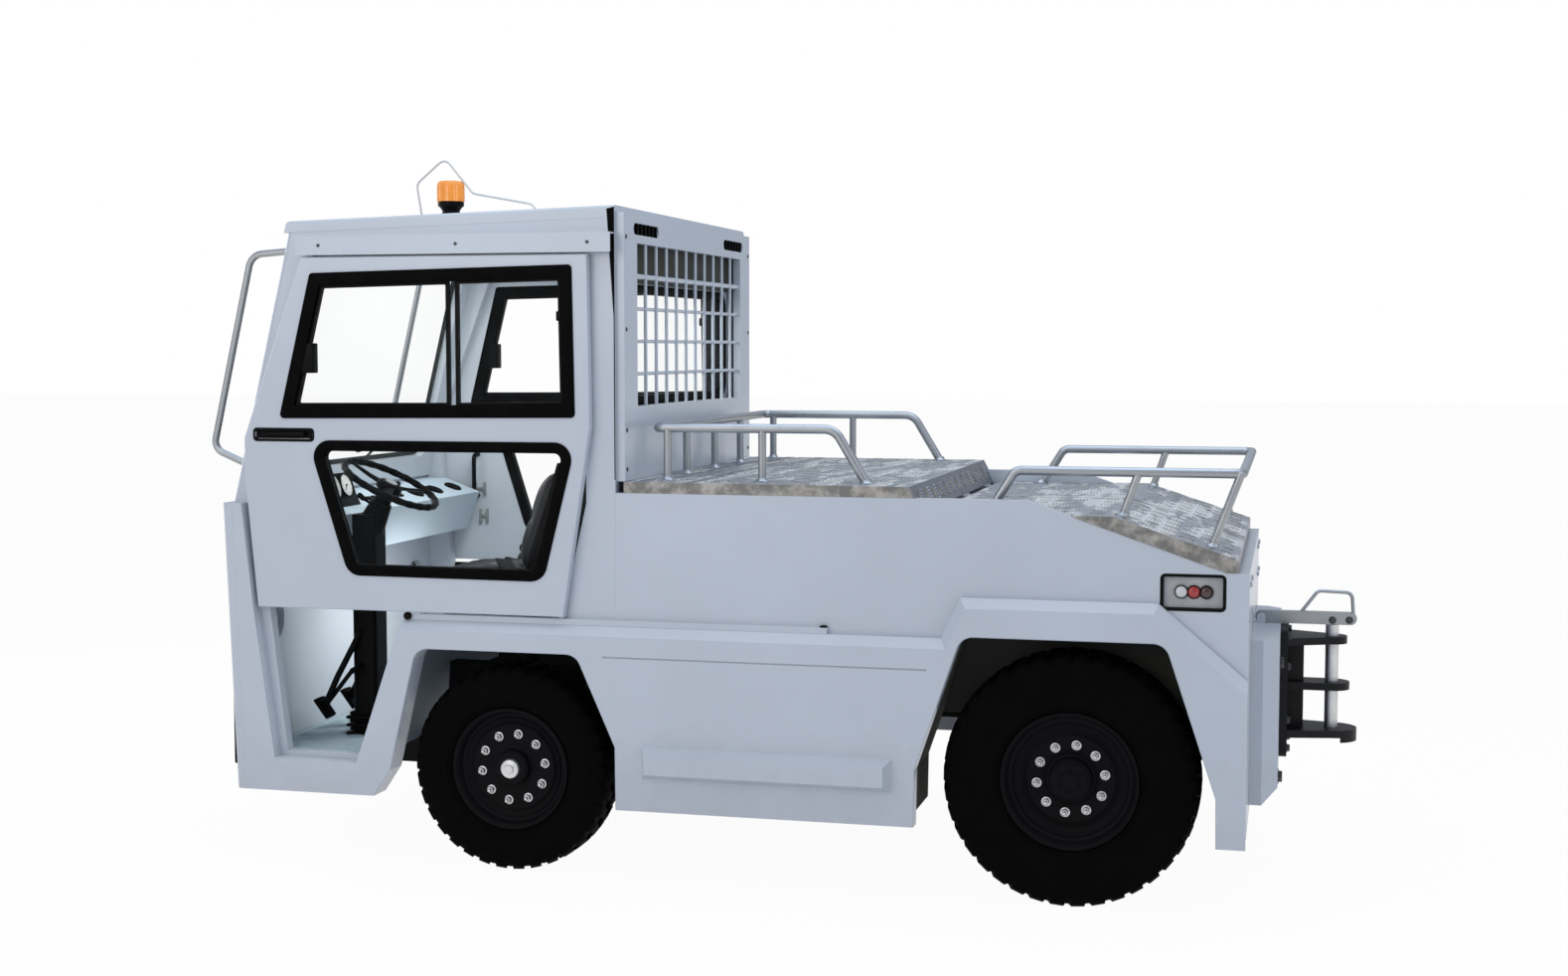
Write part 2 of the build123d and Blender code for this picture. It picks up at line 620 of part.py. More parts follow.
# Rail round the front deck, open to the rear
rail_seat_z = deck_top_z + running_gap
front_rail_x = front_axle_x + 480
with BuildPart() as front_deck_rail:
    leg_foot_x = rear_axle_x - 665
    for side in (-1, 1):
        add(tube([(leg_foot_x + 9, side * rail_y, rail_seat_z - 15), (leg_foot_x - 105, side * rail_y, front_rail_z),
                  (front_rail_x, side * rail_y, front_rail_z), (front_rail_x, 0, front_rail_z)],
                 [60, 30], rail_tube_r))
        with BuildSketch(Plane.XY.offset(rail_seat_z)):
            with Locations((front_rail_x + 40, side * rail_y), (front_axle_x + 840, side * rail_y),
                           (front_rail_x, side * rail_y / 2)):
                Circle(rail_post_r)
        extrude(amount=front_rail_z - rail_seat_z)
    with BuildSketch(Plane.XY.offset(rail_seat_z)):
        with Locations((front_rail_x, 0)):
            Circle(rail_post_r)
    extrude(amount=front_rail_z - rail_seat_z)
    split(bisect_by=Plane.XY.offset(rail_seat_z), keep=Keep.TOP)
export(front_deck_rail.part, "front_deck_rail")

# Rear hood: a hinged lid, flat at first and then falling to the tail, with turned-down wings
lid_front_x = hinge_x + hinge["r"] + moving_gap
lid_break_x = rear_axle_x + 124
lid_end_x = tail_x - 33
lid_end_z = side_tail_z + 41
lid_half_in = cab_half - 4
side_slope = (side_tail_z - deck_side_z) / (side_foot_dx - side_slope_dx)


def side_top_z(x):
    """Top edge of the body side behind the break in its line."""
    return deck_side_z + side_slope * (min(x, side_foot_x) - rear_axle_x - side_slope_dx)


wing_tip = 4.0              # height of each wing where it first laps over the body side
wing_start_x = rear_axle_x + side_slope_dx + (lid_flat_z - wing_tip - running_gap - deck_side_z) / side_slope
with BuildPart() as rear_hood:
    add(cross_slab([(wing_start_x, lid_flat_z - wing_tip), (wing_start_x, lid_flat_z), (lid_break_x, lid_flat_z),
                    (lid_end_x, lid_end_z), (lid_end_x, side_tail_z + running_gap),
                    (side_foot_x, side_tail_z + running_gap)], upper_half + 2))
    add(cross_slab([(lid_front_x, lid_flat_z - lid_skin), (lid_front_x, lid_flat_z),
                    (lid_break_x, lid_flat_z), (lid_break_x, lid_flat_z - lid_skin)], lid_half_in))
    add(cross_slab([(wing_start_x - 20, side_top_z(wing_start_x) - 90),
                    (wing_start_x - 20, lid_flat_z - lid_skin), (lid_break_x - 1, lid_flat_z - lid_skin),
                    (lid_end_x - lid_skin, lid_end_z - lid_skin), (lid_end_x - lid_skin, side_tail_z - 90)],
                   upper_half - wall + 2), mode=Mode.SUBTRACT)
    for mid in (-hinge["pitch"], 0, hinge["pitch"]):
        with BuildSketch(Plane.XZ.offset(-mid - hinge["half"])):
            with Locations((hinge_x, hinge_z)):
                Circle(hinge["r"])
            with Locations(((hinge_x + lid_front_x) / 2 + hinge["r"] / 2, hinge_z)):
                Rectangle(lid_front_x - hinge_x + hinge["r"], lid_skin)
        extrude(amount=2 * hinge["half"])
        with BuildSketch(Plane.XZ.offset(-mid - hinge["half"])):
            with Locations((hinge_x, hinge_z)):
                Circle(hinge["pin"] + shaft_play)
        extrude(amount=2 * hinge["half"], mode=Mode.SUBTRACT)
export(rear_hood.part, "rear_hood")


def lid_top_z(x):
    """Upper surface of the rear hood."""
    if x < lid_break_x:
        return lid_flat_z
    return lid_flat_z + (lid_end_z - lid_flat_z) * (x - lid_break_x) / (lid_end_x - lid_break_x)


rear_rail_x = tail_x - 27
rear_rail_posts = ((146, 194), (tail_dx - 116, tail_dx - 32))    # foot and top of each, from the rear axle
with BuildPart() as rear_hood_rail:
    foot_x = rear_axle_x - 266
    for side in (-1, 1):
        y = side * rail_y
        add(tube([(foot_x - 13, y, lid_flat_z - 15), (foot_x + 77, y, rear_rail_z),
                  (rear_rail_x, y, rear_rail_z), (rear_rail_x, 0, rear_rail_z)], [35, 30], rail_tube_r))
        for bottom_dx, top_dx in rear_rail_posts:
            bottom_x = rear_axle_x + bottom_dx
            add(strut((bottom_x - 8, y, lid_top_z(bottom_x) - 20),
                      (rear_axle_x + top_dx, y, rear_rail_z), rail_post_r))
    add(cross_slab([(lid_front_x, lid_end_z - 60), (lid_front_x, lid_flat_z + running_gap),
                    (lid_break_x, lid_flat_z + running_gap), (lid_end_x, lid_end_z + running_gap),
                    (lid_end_x, lid_end_z - 60)], upper_half), mode=Mode.SUBTRACT)
export(rear_hood_rail.part, "rear_hood_rail")

# Sliding door, seen from outside on the left: panel, two window frames, glass
door_outline = from_front([(-717, 2042), (-938, 1436), (-934, 1268), (-897, 863),
                           (202, 863), (298, 1483), (291, 2042)])
upper_window = dict(corners=from_front([(-804, 1504), (-684, 1989), (241, 2009), (249, 1514)]),
                    radius=14.0, rubber=42.0)
lower_window = dict(corners=from_front([(-700, 1432), (252, 1434), (136, 977), (-558, 980)]),
                    radius=58.0, rubber=36.0)
flange = 12.0               # how far each rubber laps over the panel
flange_thick = 4.0
divider_x = front_axle_x - 185
divider_half = 11.0
handle = dict(x=front_axle_x - 790, z=1449.0, long=214.0, high=34.0, deep=20.0)
roller = dict(r=14.0, dx=(-300.0, 190.0), half=7.0)
guide_pin_r = 7.0
header = dict(low=2048.0, high=2112.0, out=door_out + 3, sheet=5.0, front=-735.0)
lower_rail = dict(front=-348.0, rear=1082.0, high=20.0, out=skirt_inner + 20)
roller_y = (skirt_inner + lower_rail["out"]) / 2
rail_top_z = ledge_z + running_gap + lower_rail["high"]


def window_sketch(window, inset):
    """A window's rounded outline, brought in by an inset."""
    with BuildSketch() as outline:
        with BuildLine():
            FilletPolyline(*window["corners"], radius=window["radius"], close=True)
        make_face()
        if inset:
            offset(amount=-inset, mode=Mode.REPLACE)
    return outline.sketch


with BuildPart() as door_left:
    add(side_slab(door_outline, door_in, door_out))
    chamfer(door_left.faces().sort_by(Axis.Y)[0].edges(), length=edge_break)
    for window in (upper_window, lower_window):
        with BuildSketch(Plane.XZ.offset(door_in - 1)):
            add(window_sketch(window, flange))
        extrude(amount=door_thick + 2, mode=Mode.SUBTRACT)
    with BuildSketch(Plane.XZ.offset(door_out - handle["deep"])):
        with Locations((handle["x"], handle["z"])):
            RectangleRounded(handle["long"], handle["high"], 10)
    extrude(amount=handle["deep"], mode=Mode.SUBTRACT)
    for dx in roller["dx"]:
        foot_z = rail_top_z + running_gap
        with BuildSketch(Plane.XZ.offset(roller_y - roller["half"])):
            with Locations((front_axle_x + dx, foot_z + roller["r"])):
                Circle(roller["r"])
        extrude(amount=2 * roller["half"])
        with BuildSketch(Plane.XZ.offset(roller_y - roller["half"])):
            with Locations((front_axle_x + dx, foot_z + 2 * roller["r"])):
                Rectangle(2 * roller["r"], roller["r"])
        extrude(amount=2 * roller["half"])
    with BuildSketch(Plane.XY.offset(door_outline[0][1] - 1)):
        with Locations((door_outline[0][0] + 30, -(door_in + guide_pin_r + 2))):
            Circle(guide_pin_r)
    extrude(amount=header["high"] - door_outline[0][1] - 20)
export(door_left.part, "door_left")
export(right_hand(door_left.part), "door_right")

with BuildPart() as door_frames_left:
    for window in (upper_window, lower_window):
        with BuildSketch(Plane.XZ.offset(door_out + running_gap)):
            add(window_sketch(window, 0))
        extrude(amount=flange_thick)
        with BuildSketch(Plane.XZ.offset(door_in)):
            add(window_sketch(window, flange + running_gap))
        extrude(amount=door_thick + 1)
        with BuildSketch(Plane.XZ.offset(door_in - 1)):
            add(window_sketch(window, window["rubber"]))
        extrude(amount=door_thick + 2 * flange_thick, mode=Mode.SUBTRACT)
    with BuildSketch(Plane.XZ.offset(door_in + 8)):
        with Locations((divider_x, (upper_window["corners"][0][1] + upper_window["corners"][1][1]) / 2)):
            Rectangle(2 * divider_half, 430)
    extrude(amount=18)
export(door_frames_left.part, "door_frames_left")
export(right_hand(door_frames_left.part), "door_frames_right")

glass_y = door_in + 14
with BuildPart() as door_glass_left:
    for window in (upper_window, lower_window):
        with BuildSketch(Plane.XZ.offset(glass_y)):
            add(window_sketch(window, window["rubber"] + running_gap))
        extrude(amount=glass_thick - 1)
    with BuildSketch(Plane.XZ.offset(glass_y - 2)):
        with Locations((divider_x, (upper_window["corners"][0][1] + upper_window["corners"][1][1]) / 2)):
            Rectangle(2 * (divider_half + running_gap), 600)
    extrude(amount=glass_thick + 4, mode=Mode.SUBTRACT)
export(door_glass_left.part, "door_glass_left")
export(right_hand(door_glass_left.part), "door_glass_right")

# Rails that the doors run in: a bar on the ledge and a channel over the doorway
with BuildPart() as door_rails:
    with BuildSketch(Plane.XZ.offset(skirt_inner)):
        with Locations((front_axle_x + (lower_rail["front"] + lower_rail["rear"]) / 2,
                        rail_top_z - lower_rail["high"] / 2)):
            Rectangle(lower_rail["rear"] - lower_rail["front"], lower_rail["high"])
    lower_bar = extrude(amount=lower_rail["out"] - skirt_inner)
    with BuildSketch(Plane.YZ.offset(front_axle_x + header["front"])):
        with BuildLine():
            Polyline((-skirt_inner, header["high"]), (-header["out"], header["high"]),
                     (-header["out"], header["low"]), (-header["out"] + header["sheet"], header["low"]),
                     (-header["out"] + header["sheet"], header["high"] - header["sheet"]),
                     (-skirt_inner, header["high"] - header["sheet"]), close=True)
        make_face()
    upper_channel = extrude(amount=cab_rear_dx - header["front"])
    mirror(about=Plane.XZ)
export(door_rails.part, "door_rails")

# Grab rails up the windscreen posts, cut off at the posts' face
grab_r = 12.0
grab_y = upper_half - 88
grab_points = from_front([(-780, 2072), (-968, 2058), (grab_r - front_reach, 1392), (-950, 1320)])
with BuildPart() as grab_rails:
    for y in (-grab_y, grab_y):
        add(tube([(x, y, z) for x, z in grab_points], [55, 45], grab_r))
    split(bisect_by=screen_plane.offset(running_gap), keep=Keep.TOP)
export(grab_rails.part, "grab_rails")

# Beacon on the roof, with its bent-rod guard
beacon = dict(dx=-534.0, r=51.0, base_r=42.0, base_z=roof_front_z + 114, top_z=roof_front_z + 191)
guard_rod_r = 4.0
guard_foot_z = roof_z(beacon["dx"]) + running_gap
with BuildPart() as beacon_base:
    with BuildSketch(Plane.XY.offset(roof_z(beacon["dx"] + beacon["base_r"]) + running_gap)):
        with Locations((front_axle_x + beacon["dx"], 0)):
            Circle(beacon["base_r"])
    extrude(amount=beacon["base_z"] - guard_foot_z - 2)
    rod = from_front([(-642, roof_front_z), (-670, roof_front_z + 182), (-556, roof_front_z + 275),
                      (-446, roof_front_z + 143), (-217, roof_front_z + 101), (-146, roof_front_z)])
    add(tube([(x, 0, z) for x, z in rod], [30, 30, 30, 30], guard_rod_r))
    add(cross_slab([(x, z + running_gap) for x, z in roof_line[1:]]
                   + [(roof_line[1][0], roof_line[0][1])], upper_half), mode=Mode.SUBTRACT)
export(beacon_base.part, "beacon_base")

with BuildPart() as beacon_lens:
    with BuildSketch(Plane.XY.offset(beacon["base_z"] + running_gap)):
        with Locations((front_axle_x + beacon["dx"], 0)):
            Circle(beacon["r"])
    extrude(amount=beacon["top_z"] - beacon["base_z"] - running_gap)
    chamfer(beacon_lens.faces().sort_by(Axis.Z)[-1].edges(), length=10)
export(beacon_lens.part, "beacon_lens")

# Seats on their pedestals, for the driver on the left and one passenger
seat = dict(y=cab_half - 348, half=235.0)
seat_side = from_front([(-420, 872), (-40, 872), (10, 900), (172, 1345), (150, 1372), (98, 1372), (60, 1345),
                        (-60, 968), (-400, 968), (-430, 940)])
with BuildPart() as seats:
    for side in (-1, 1):
        with BuildSketch(Plane.XZ.offset(-side * seat["y"] - seat["half"])):
            with BuildLine():
                Polyline(*seat_side, close=True)
            make_face()
        extrude(amount=2 * seat["half"])
    with BuildSketch(Plane.XY.offset(platform_z + running_gap)):
        with Locations((front_axle_x - 210, -seat["y"]), (front_axle_x - 210, seat["y"])):
            Rectangle(300, 340)
    extrude(amount=seat_side[0][1] - platform_z)
export(seats.part, "seats")

# Dashboard across the cab behind the nose
dash = dict(low=980.0, high=belt_z - 10, deep=230.0, half=cab_half - 8)
dash_low_x = nose_line_x(dash["low"]) + wall + running_gap
with BuildPart() as dashboard:
    add(cross_slab([(dash_low_x, dash["low"]), (nose_line_x(dash["high"]) + wall + running_gap, dash["high"]),
                    (dash_low_x + 80, dash["high"]), (dash_low_x + dash["deep"], dash["high"] - 55),
                    (dash_low_x + dash["deep"] - 50, dash["low"] + 20)], dash["half"]))
export(dashboard.part, "dashboard")

# Steering column with its box and the pedals, and the steering wheel
steering_y = -seat["y"]
wheel_centre = Vector(front_axle_x - 604, steering_y, 1257)
wheel_axis = Vector(0.456, 0, 0.890).normalized()
wheel_r = 187.0
wheel_tube_r = 13.0
shaft_r = 19.0
box_top = wheel_centre - wheel_axis * 120
column_x = front_axle_x - 690
with BuildPart() as steering_column:
    add(strut(tuple(box_top), tuple(wheel_centre - wheel_axis * 35), 30))
    with BuildSketch(Plane.XY.offset(floor_z + running_gap)):
        with Locations((column_x, steering_y)):
            RectangleRounded(90, 110, 18)
    extrude(amount=box_top.Z - floor_z)
    for y in (-110, 95):
        add(strut((column_x, steering_y + y * 0.2, 620), (column_x - 20, steering_y + y, 600), 10))
        add(strut((column_x - 20, steering_y + y, 600), (front_axle_x - 815, steering_y + y, 470), 8))
        with BuildSketch(Plane(origin=(front_axle_x - 822, steering_y + y, 462), z_dir=(0.8, 0, 0.6))):
            RectangleRounded(80, 60, 10)
        extrude(amount=14)
export(steering_column.part, "steering_column")

with BuildPart() as steering_wheel:
    wheel_plane = Plane(origin=wheel_centre, z_dir=wheel_axis)
    with BuildSketch(Plane(origin=wheel_centre, x_dir=wheel_plane.x_dir, z_dir=wheel_plane.y_dir)):
        with Locations((wheel_r - wheel_tube_r, 0)):
            RegularPolygon(wheel_tube_r, 10)
    revolve(axis=Axis(wheel_centre, wheel_axis))
    with BuildSketch(wheel_plane.offset(-34.7)):
        Circle(34)
    extrude(amount=44)
    for turn in (90, 210, 330):
        arm_dir = wheel_plane.x_dir.rotate(Axis((0, 0, 0), wheel_axis), turn)
        add(strut(tuple(wheel_centre - wheel_axis * 12), tuple(wheel_centre + arm_dir * (wheel_r - wheel_tube_r)), 8))
export(steering_wheel.part, "steering_wheel")

# Chassis: two rails stepped down under the foot floor, joined by cross members
rail_mid_y = kingpin_y - 270
rail_w = 60.0
frame_low = 505.0
frame_high = 625.0
chassis_rear_x = tail_x - rear_panel_thick - running_gap
chassis_side = [
    (nose_inner_foot[0] + running_gap, 255.0), (front_axle_x - 335, 255.0), (front_axle_x - 335, frame_low),
    (chassis_rear_x, frame_low), (chassis_rear_x, frame_high), (front_axle_x - 400, frame_high),
    (front_axle_x - 420, floor_z - floor_thick - 15), (front_axle_x - 440, floor_z - floor_thick - running_gap),
    (nose_inner_foot[0] + running_gap, floor_z - floor_thick - running_gap),
]
member_low = 520.0
member_deep = 60.0
cross_members = ((-900.0, 270.0), (-360.0, member_low), (700.0, member_low),
                 (2300.0, member_low))     # distance from the front axle, underside
body_mounts = (-180.0, 320.0)
spring = dict(front=-300.0, rear=300.0, thick=14.0, half=35.0, z=425.0)
with BuildPart() as chassis_frame:
    for side in (-1, 1):
        with BuildSketch(Plane.XZ.offset(-side * rail_mid_y - rail_w / 2)):
            with BuildLine():
                Polyline(*chassis_side, close=True)
            make_face()
        extrude(amount=rail_w)
        for dx in body_mounts:
            with BuildSketch(Plane.XY.offset(frame_high - 1)):
                with Locations((front_axle_x + dx, side * rail_mid_y)):
                    Rectangle(70, rail_w)
            extrude(amount=bulkhead[1][1] - running_gap - frame_high + 1)
        for dx in (spring["front"], spring["rear"]):
            with BuildSketch(Plane.XY.offset(spring["z"] + spring["thick"] / 2 + running_gap)):
                with Locations((front_axle_x + dx, side * rail_mid_y)):
                    Rectangle(40, 50)
            extrude(amount=frame_low - spring["z"] - spring["thick"] / 2)
    for dx, low in cross_members:
        with BuildSketch(Plane.XZ.offset(-rail_mid_y)):
            with Locations((front_axle_x + dx, low + member_deep / 2)):
                Rectangle(60, member_deep)
        extrude(amount=2 * rail_mid_y)
export(chassis_frame.part, "chassis_frame")

# Engine: one plain block between the rails, seated on the cross members
engine = dict(front=520.0, long=660.0, half=rail_mid_y - rail_w, high=500.0)
engine_rear_x = front_axle_x + engine["front"] + engine["long"]
with BuildPart() as engine_block:
    with BuildSketch(Plane.XY.offset(member_low + member_deep + running_gap)):
        with Locations((engine_rear_x - engine["long"] / 2, 0)):
            Rectangle(engine["long"], 2 * engine["half"])
    extrude(amount=engine["high"])
export(engine_block.part, "engine_block")

# Front axle: beam with kingpin eyes, on leaf springs
axle_z = front_tyre_r
eye = dict(r=36.0, half=42.0)
kingpin_r = 16.0
beam_half = 45.0
with BuildPart() as front_axle:
    with BuildSketch(Plane.XZ.offset(-(kingpin_y - 20))):
        with Locations((front_axle_x, axle_z)):
            RectangleRounded(2 * beam_half, 84, 12)
    extrude(amount=2 * (kingpin_y - 20))
    for side in (-1, 1):
        with BuildSketch(Plane.XY.offset(axle_z - eye["half"])):
            with Locations((front_axle_x, side * kingpin_y)):
                Circle(eye["r"])
        extrude(amount=2 * eye["half"])
        with BuildSketch(Plane.XZ.offset(-side * rail_mid_y - spring["half"])):
            with Locations((front_axle_x, spring["z"])):
                Rectangle(spring["rear"] - spring["front"] + 40, spring["thick"])
            with Locations((front_axle_x, spring["z"] - spring["thick"])):
                Rectangle(380, spring["thick"])
            with Locations((front_axle_x, spring["z"] - 2 * spring["thick"])):
                Rectangle(220, spring["thick"])
        extrude(amount=2 * spring["half"])
        with BuildSketch(Plane.XY.offset(axle_z)):
            with Locations((front_axle_x, side * rail_mid_y)):
                Rectangle(80, 2 * spring["half"])
        extrude(amount=spring["z"] - 2 * spring["thick"] - axle_z)
    with BuildSketch(Plane.XY.offset(axle_z - 60)):
        with Locations((front_axle_x, -kingpin_y), (front_axle_x, kingpin_y)):
            Circle(kingpin_r + shaft_play)
    extrude(amount=120, mode=Mode.SUBTRACT)
export(front_axle.part, "front_axle")

# Steering knuckle: fork round the eye, kingpin, steering arm and stub axle
fork = dict(r=34.0, thick=22.0)
spindle_r = 26.0
front_wheel_y = tyre_outer_y - front_tyre_w / 2
arm_thick = 18.0
with BuildPart() as knuckle_left:
    fork_low = axle_z - eye["half"] - running_gap - fork["thick"]
    fork_high = axle_z + eye["half"] + running_gap
    for level in (fork_low, fork_high):
        with BuildSketch(Plane.XY.offset(level)):
            with Locations((front_axle_x, -kingpin_y)):
                Circle(fork["r"])
            with Locations((front_axle_x, -kingpin_y - 30)):
                Rectangle(2 * fork["r"], 60)
        extrude(amount=fork["thick"])
    with BuildSketch(Plane.XY.offset(fork_low)):
        with Locations((front_axle_x, -kingpin_y)):
            Circle(kingpin_r)
        with Locations((front_axle_x, -kingpin_y - 50)):
            Rectangle(2 * fork["r"], 20)
    extrude(amount=fork_high + fork["thick"] - fork_low)
    with BuildSketch(Plane.XY.offset(fork_low)):
        with Locations((front_axle_x + steer_arm / 2, -kingpin_y)):
            Rectangle(steer_arm, 36)
        with Locations((front_axle_x + steer_arm, -kingpin_y)):
            Circle(26)
    extrude(amount=arm_thick)
    with BuildSketch(Plane.XZ.offset(kingpin_y + 50)):
        with Locations((front_axle_x, axle_z)):
            Circle(spindle_r)
    extrude(amount=front_wheel_y - kingpin_y + 10)
export(knuckle_left.part, "knuckle_left")
export(right_hand(knuckle_left.part), "knuckle_right")

track_rod_r = 14.0
with BuildPart() as track_rod:
    rod_top = fork_low - running_gap
    for side in (-1, 1):
        with BuildSketch(Plane.XY.offset(rod_top - 20)):
            with Locations((front_axle_x + steer_arm, side * kingpin_y)):
                Circle(24)
        extrude(amount=20)
    with BuildSketch(Plane.XZ.offset(-kingpin_y)):
        with Locations((front_axle_x + steer_arm, rod_top - track_rod_r)):
            Circle(track_rod_r - 1)
    extrude(amount=2 * kingpin_y)
export(track_rod.part, "track_rod")

# Rear axle: housing, tubes, spring blocks and the driveshaft to the engine
rear_z = rear_tyre_r
rear_wheel_y = tyre_outer_y - rear_tyre_w / 2
rear_tube_r = 52.0
rear_spindle_r = 32.0
with BuildPart() as rear_axle:
    with BuildSketch(Plane.XZ.offset(-(rear_wheel_y - 120))):
        with Locations((rear_axle_x, rear_z)):
            Circle(rear_tube_r)
    extrude(amount=2 * (rear_wheel_y - 120))
    with BuildSketch(Plane.XZ.offset(-(rear_wheel_y + 20))):
        with Locations((rear_axle_x, rear_z)):
            Circle(rear_spindle_r)
    extrude(amount=2 * (rear_wheel_y + 20))
    with BuildSketch(Plane.XZ.offset(-110)):
        with Locations((rear_axle_x, rear_z)):
            Circle(140)
    extrude(amount=220)
    fillet(rear_axle.edges().filter_by(GeomType.CIRCLE).filter_by(lambda e: e.radius > 139), radius=45)
    with BuildSketch(Plane.XY.offset(rear_z)):
        with Locations((rear_axle_x, -rail_mid_y), (rear_axle_x, rail_mid_y)):
            Rectangle(140, 70)
    extrude(amount=frame_low - running_gap - rear_z)
    add(strut((rear_axle_x - 100, 0, rear_z + 45), (engine_rear_x - 20, 0, 640), 36))
    split(bisect_by=Plane.YZ.offset(engine_rear_x + running_gap), keep=Keep.TOP)
export(rear_axle.part, "rear_axle")


rim_sheet = 9.0
rim_lip = 13.0
bead_in = 22.0              # each bead's distance in from the tyre's widest point


def tyre(r, width, rim_r):
    """A tyre round the Y axis at the origin, closed on its rim."""
    bead = width / 2 - bead_in
    foot = rim_r + running_gap
    over_lip = rim_r + rim_lip + running_gap
    outer_half = [(foot, bead), (over_lip, bead), (over_lip + 25, width / 2 - 5), ((r + rim_r) / 2, width / 2),
                  (r - 20, width / 2 - 6), (r, width / 2 - 26)]
    with BuildPart() as ring:
        with BuildSketch(Plane.XY):
            with BuildLine():
                Polyline(*outer_half, *[(x, -y) for x, y in outer_half[::-1]], close=True)
            make_face()
        revolve(axis=Axis.Y)
    return ring.part


def rim(rim_r, width, bore_r, dish, hub_r, hub_out):
    """A disc wheel round the Y axis at the origin, its outside facing -Y."""
    bead = width / 2 - bead_in + running_gap
    with BuildPart() as disc_wheel:
        with BuildSketch(Plane.XY):
            with BuildLine():
                Polyline((rim_r - rim_sheet, -bead - rim_sheet), (rim_r + rim_lip, -bead - rim_sheet),
                         (rim_r + rim_lip, -bead), (rim_r, -bead), (rim_r, bead), (rim_r + rim_lip, bead),
                         (rim_r + rim_lip, bead + rim_sheet), (rim_r - rim_sheet, bead + rim_sheet),
                         close=True)
            make_face()
            with BuildLine():
                Polyline((rim_r - rim_sheet / 2, -dish + 38), (rim_r - rim_sheet / 2, -dish + 38 + rim_sheet),
                         (rim_r - 45, -dish + rim_sheet), (bore_r, -dish + rim_sheet),
                         (bore_r, -dish), (rim_r - 48, -dish), close=True)
            make_face()
            with Locations(((bore_r + hub_r) / 2, (30 - hub_out) / 2)):
                Rectangle(hub_r - bore_r, hub_out + 30)
        revolve(axis=Axis.Y)
        with BuildSketch(Plane.XZ.offset(hub_out)):
            Circle(hub_r)
        extrude(amount=10)
    return disc_wheel.part


# Wheels: name, axle position, wheel height and place to the side
wheels = (
    ("front", front_axle_x, front_wheel_y, front_tyre_r, front_tyre_w, front_rim_r, spindle_r, 62.0),
    ("rear", rear_axle_x, rear_wheel_y, rear_tyre_r, rear_tyre_w, rear_rim_r, rear_spindle_r, 70.0),
)
for place, x, y, r, width, rim_r, shaft, hub_r in wheels:
    left = Location((x, -y, r))
    wheel_tyre = tyre(r, width, rim_r).moved(left)
    wheel_rim = rim(rim_r, width, shaft + shaft_play, 40.0, hub_r, 70.0).moved(left)
    export(wheel_tyre, f"tyre_{place}_left")
    export(wheel_rim, f"rim_{place}_left")
    export(right_hand(wheel_tyre), f"tyre_{place}_right")
    export(right_hand(wheel_rim), f"rim_{place}_right")
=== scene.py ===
import math

import bmesh
import bpy
from mathutils import Matrix, Vector
from mathutils.bvhtree import BVHTree


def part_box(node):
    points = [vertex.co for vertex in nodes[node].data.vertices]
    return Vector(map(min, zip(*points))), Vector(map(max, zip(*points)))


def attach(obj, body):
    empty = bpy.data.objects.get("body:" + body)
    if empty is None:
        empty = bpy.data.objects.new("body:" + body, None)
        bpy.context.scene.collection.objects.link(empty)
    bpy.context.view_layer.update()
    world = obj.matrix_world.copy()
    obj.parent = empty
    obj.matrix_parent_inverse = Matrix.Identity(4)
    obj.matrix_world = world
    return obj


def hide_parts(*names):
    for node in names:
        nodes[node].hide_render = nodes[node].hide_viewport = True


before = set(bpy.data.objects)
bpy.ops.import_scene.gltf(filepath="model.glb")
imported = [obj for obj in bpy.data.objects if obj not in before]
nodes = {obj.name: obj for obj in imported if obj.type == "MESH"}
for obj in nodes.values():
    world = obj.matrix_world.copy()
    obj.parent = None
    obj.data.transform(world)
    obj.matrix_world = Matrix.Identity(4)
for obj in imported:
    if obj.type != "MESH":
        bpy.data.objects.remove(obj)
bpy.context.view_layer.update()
print("frame loaded", len(nodes), "nodes")

sides = (("left", -1), ("right", 1))


def middle(node):
    low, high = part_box(node)
    return (low + high) / 2


frontAxle = middle("tyre_front_left").x
rearAxle = middle("tyre_rear_left").x
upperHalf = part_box("cab_roof")[1].y
doorOut = -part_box("door_left")[0].y
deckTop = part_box("front_deck")[1].z
floorTop = 0.365
print("front axle", round(frontAxle, 4), "rear axle", round(rearAxle, 4))


# Materials

class Wire:  # a node's output that takes Python's operators
    def __init__(self, paint, out):
        self.paint = paint
        self.out = out

    def maths(self, operation, first, second):
        return self.paint.node("ShaderNodeMath", {"operation": operation}, {0: first, 1: second})

    def __add__(self, other):
        return self.maths("ADD", self, other)

    def __sub__(self, other):
        return self.maths("SUBTRACT", self, other)

    def __rsub__(self, other):
        return self.maths("SUBTRACT", other, self)

    def __mul__(self, other):
        return self.maths("MULTIPLY", self, other)

    __radd__ = __add__
    __rmul__ = __mul__


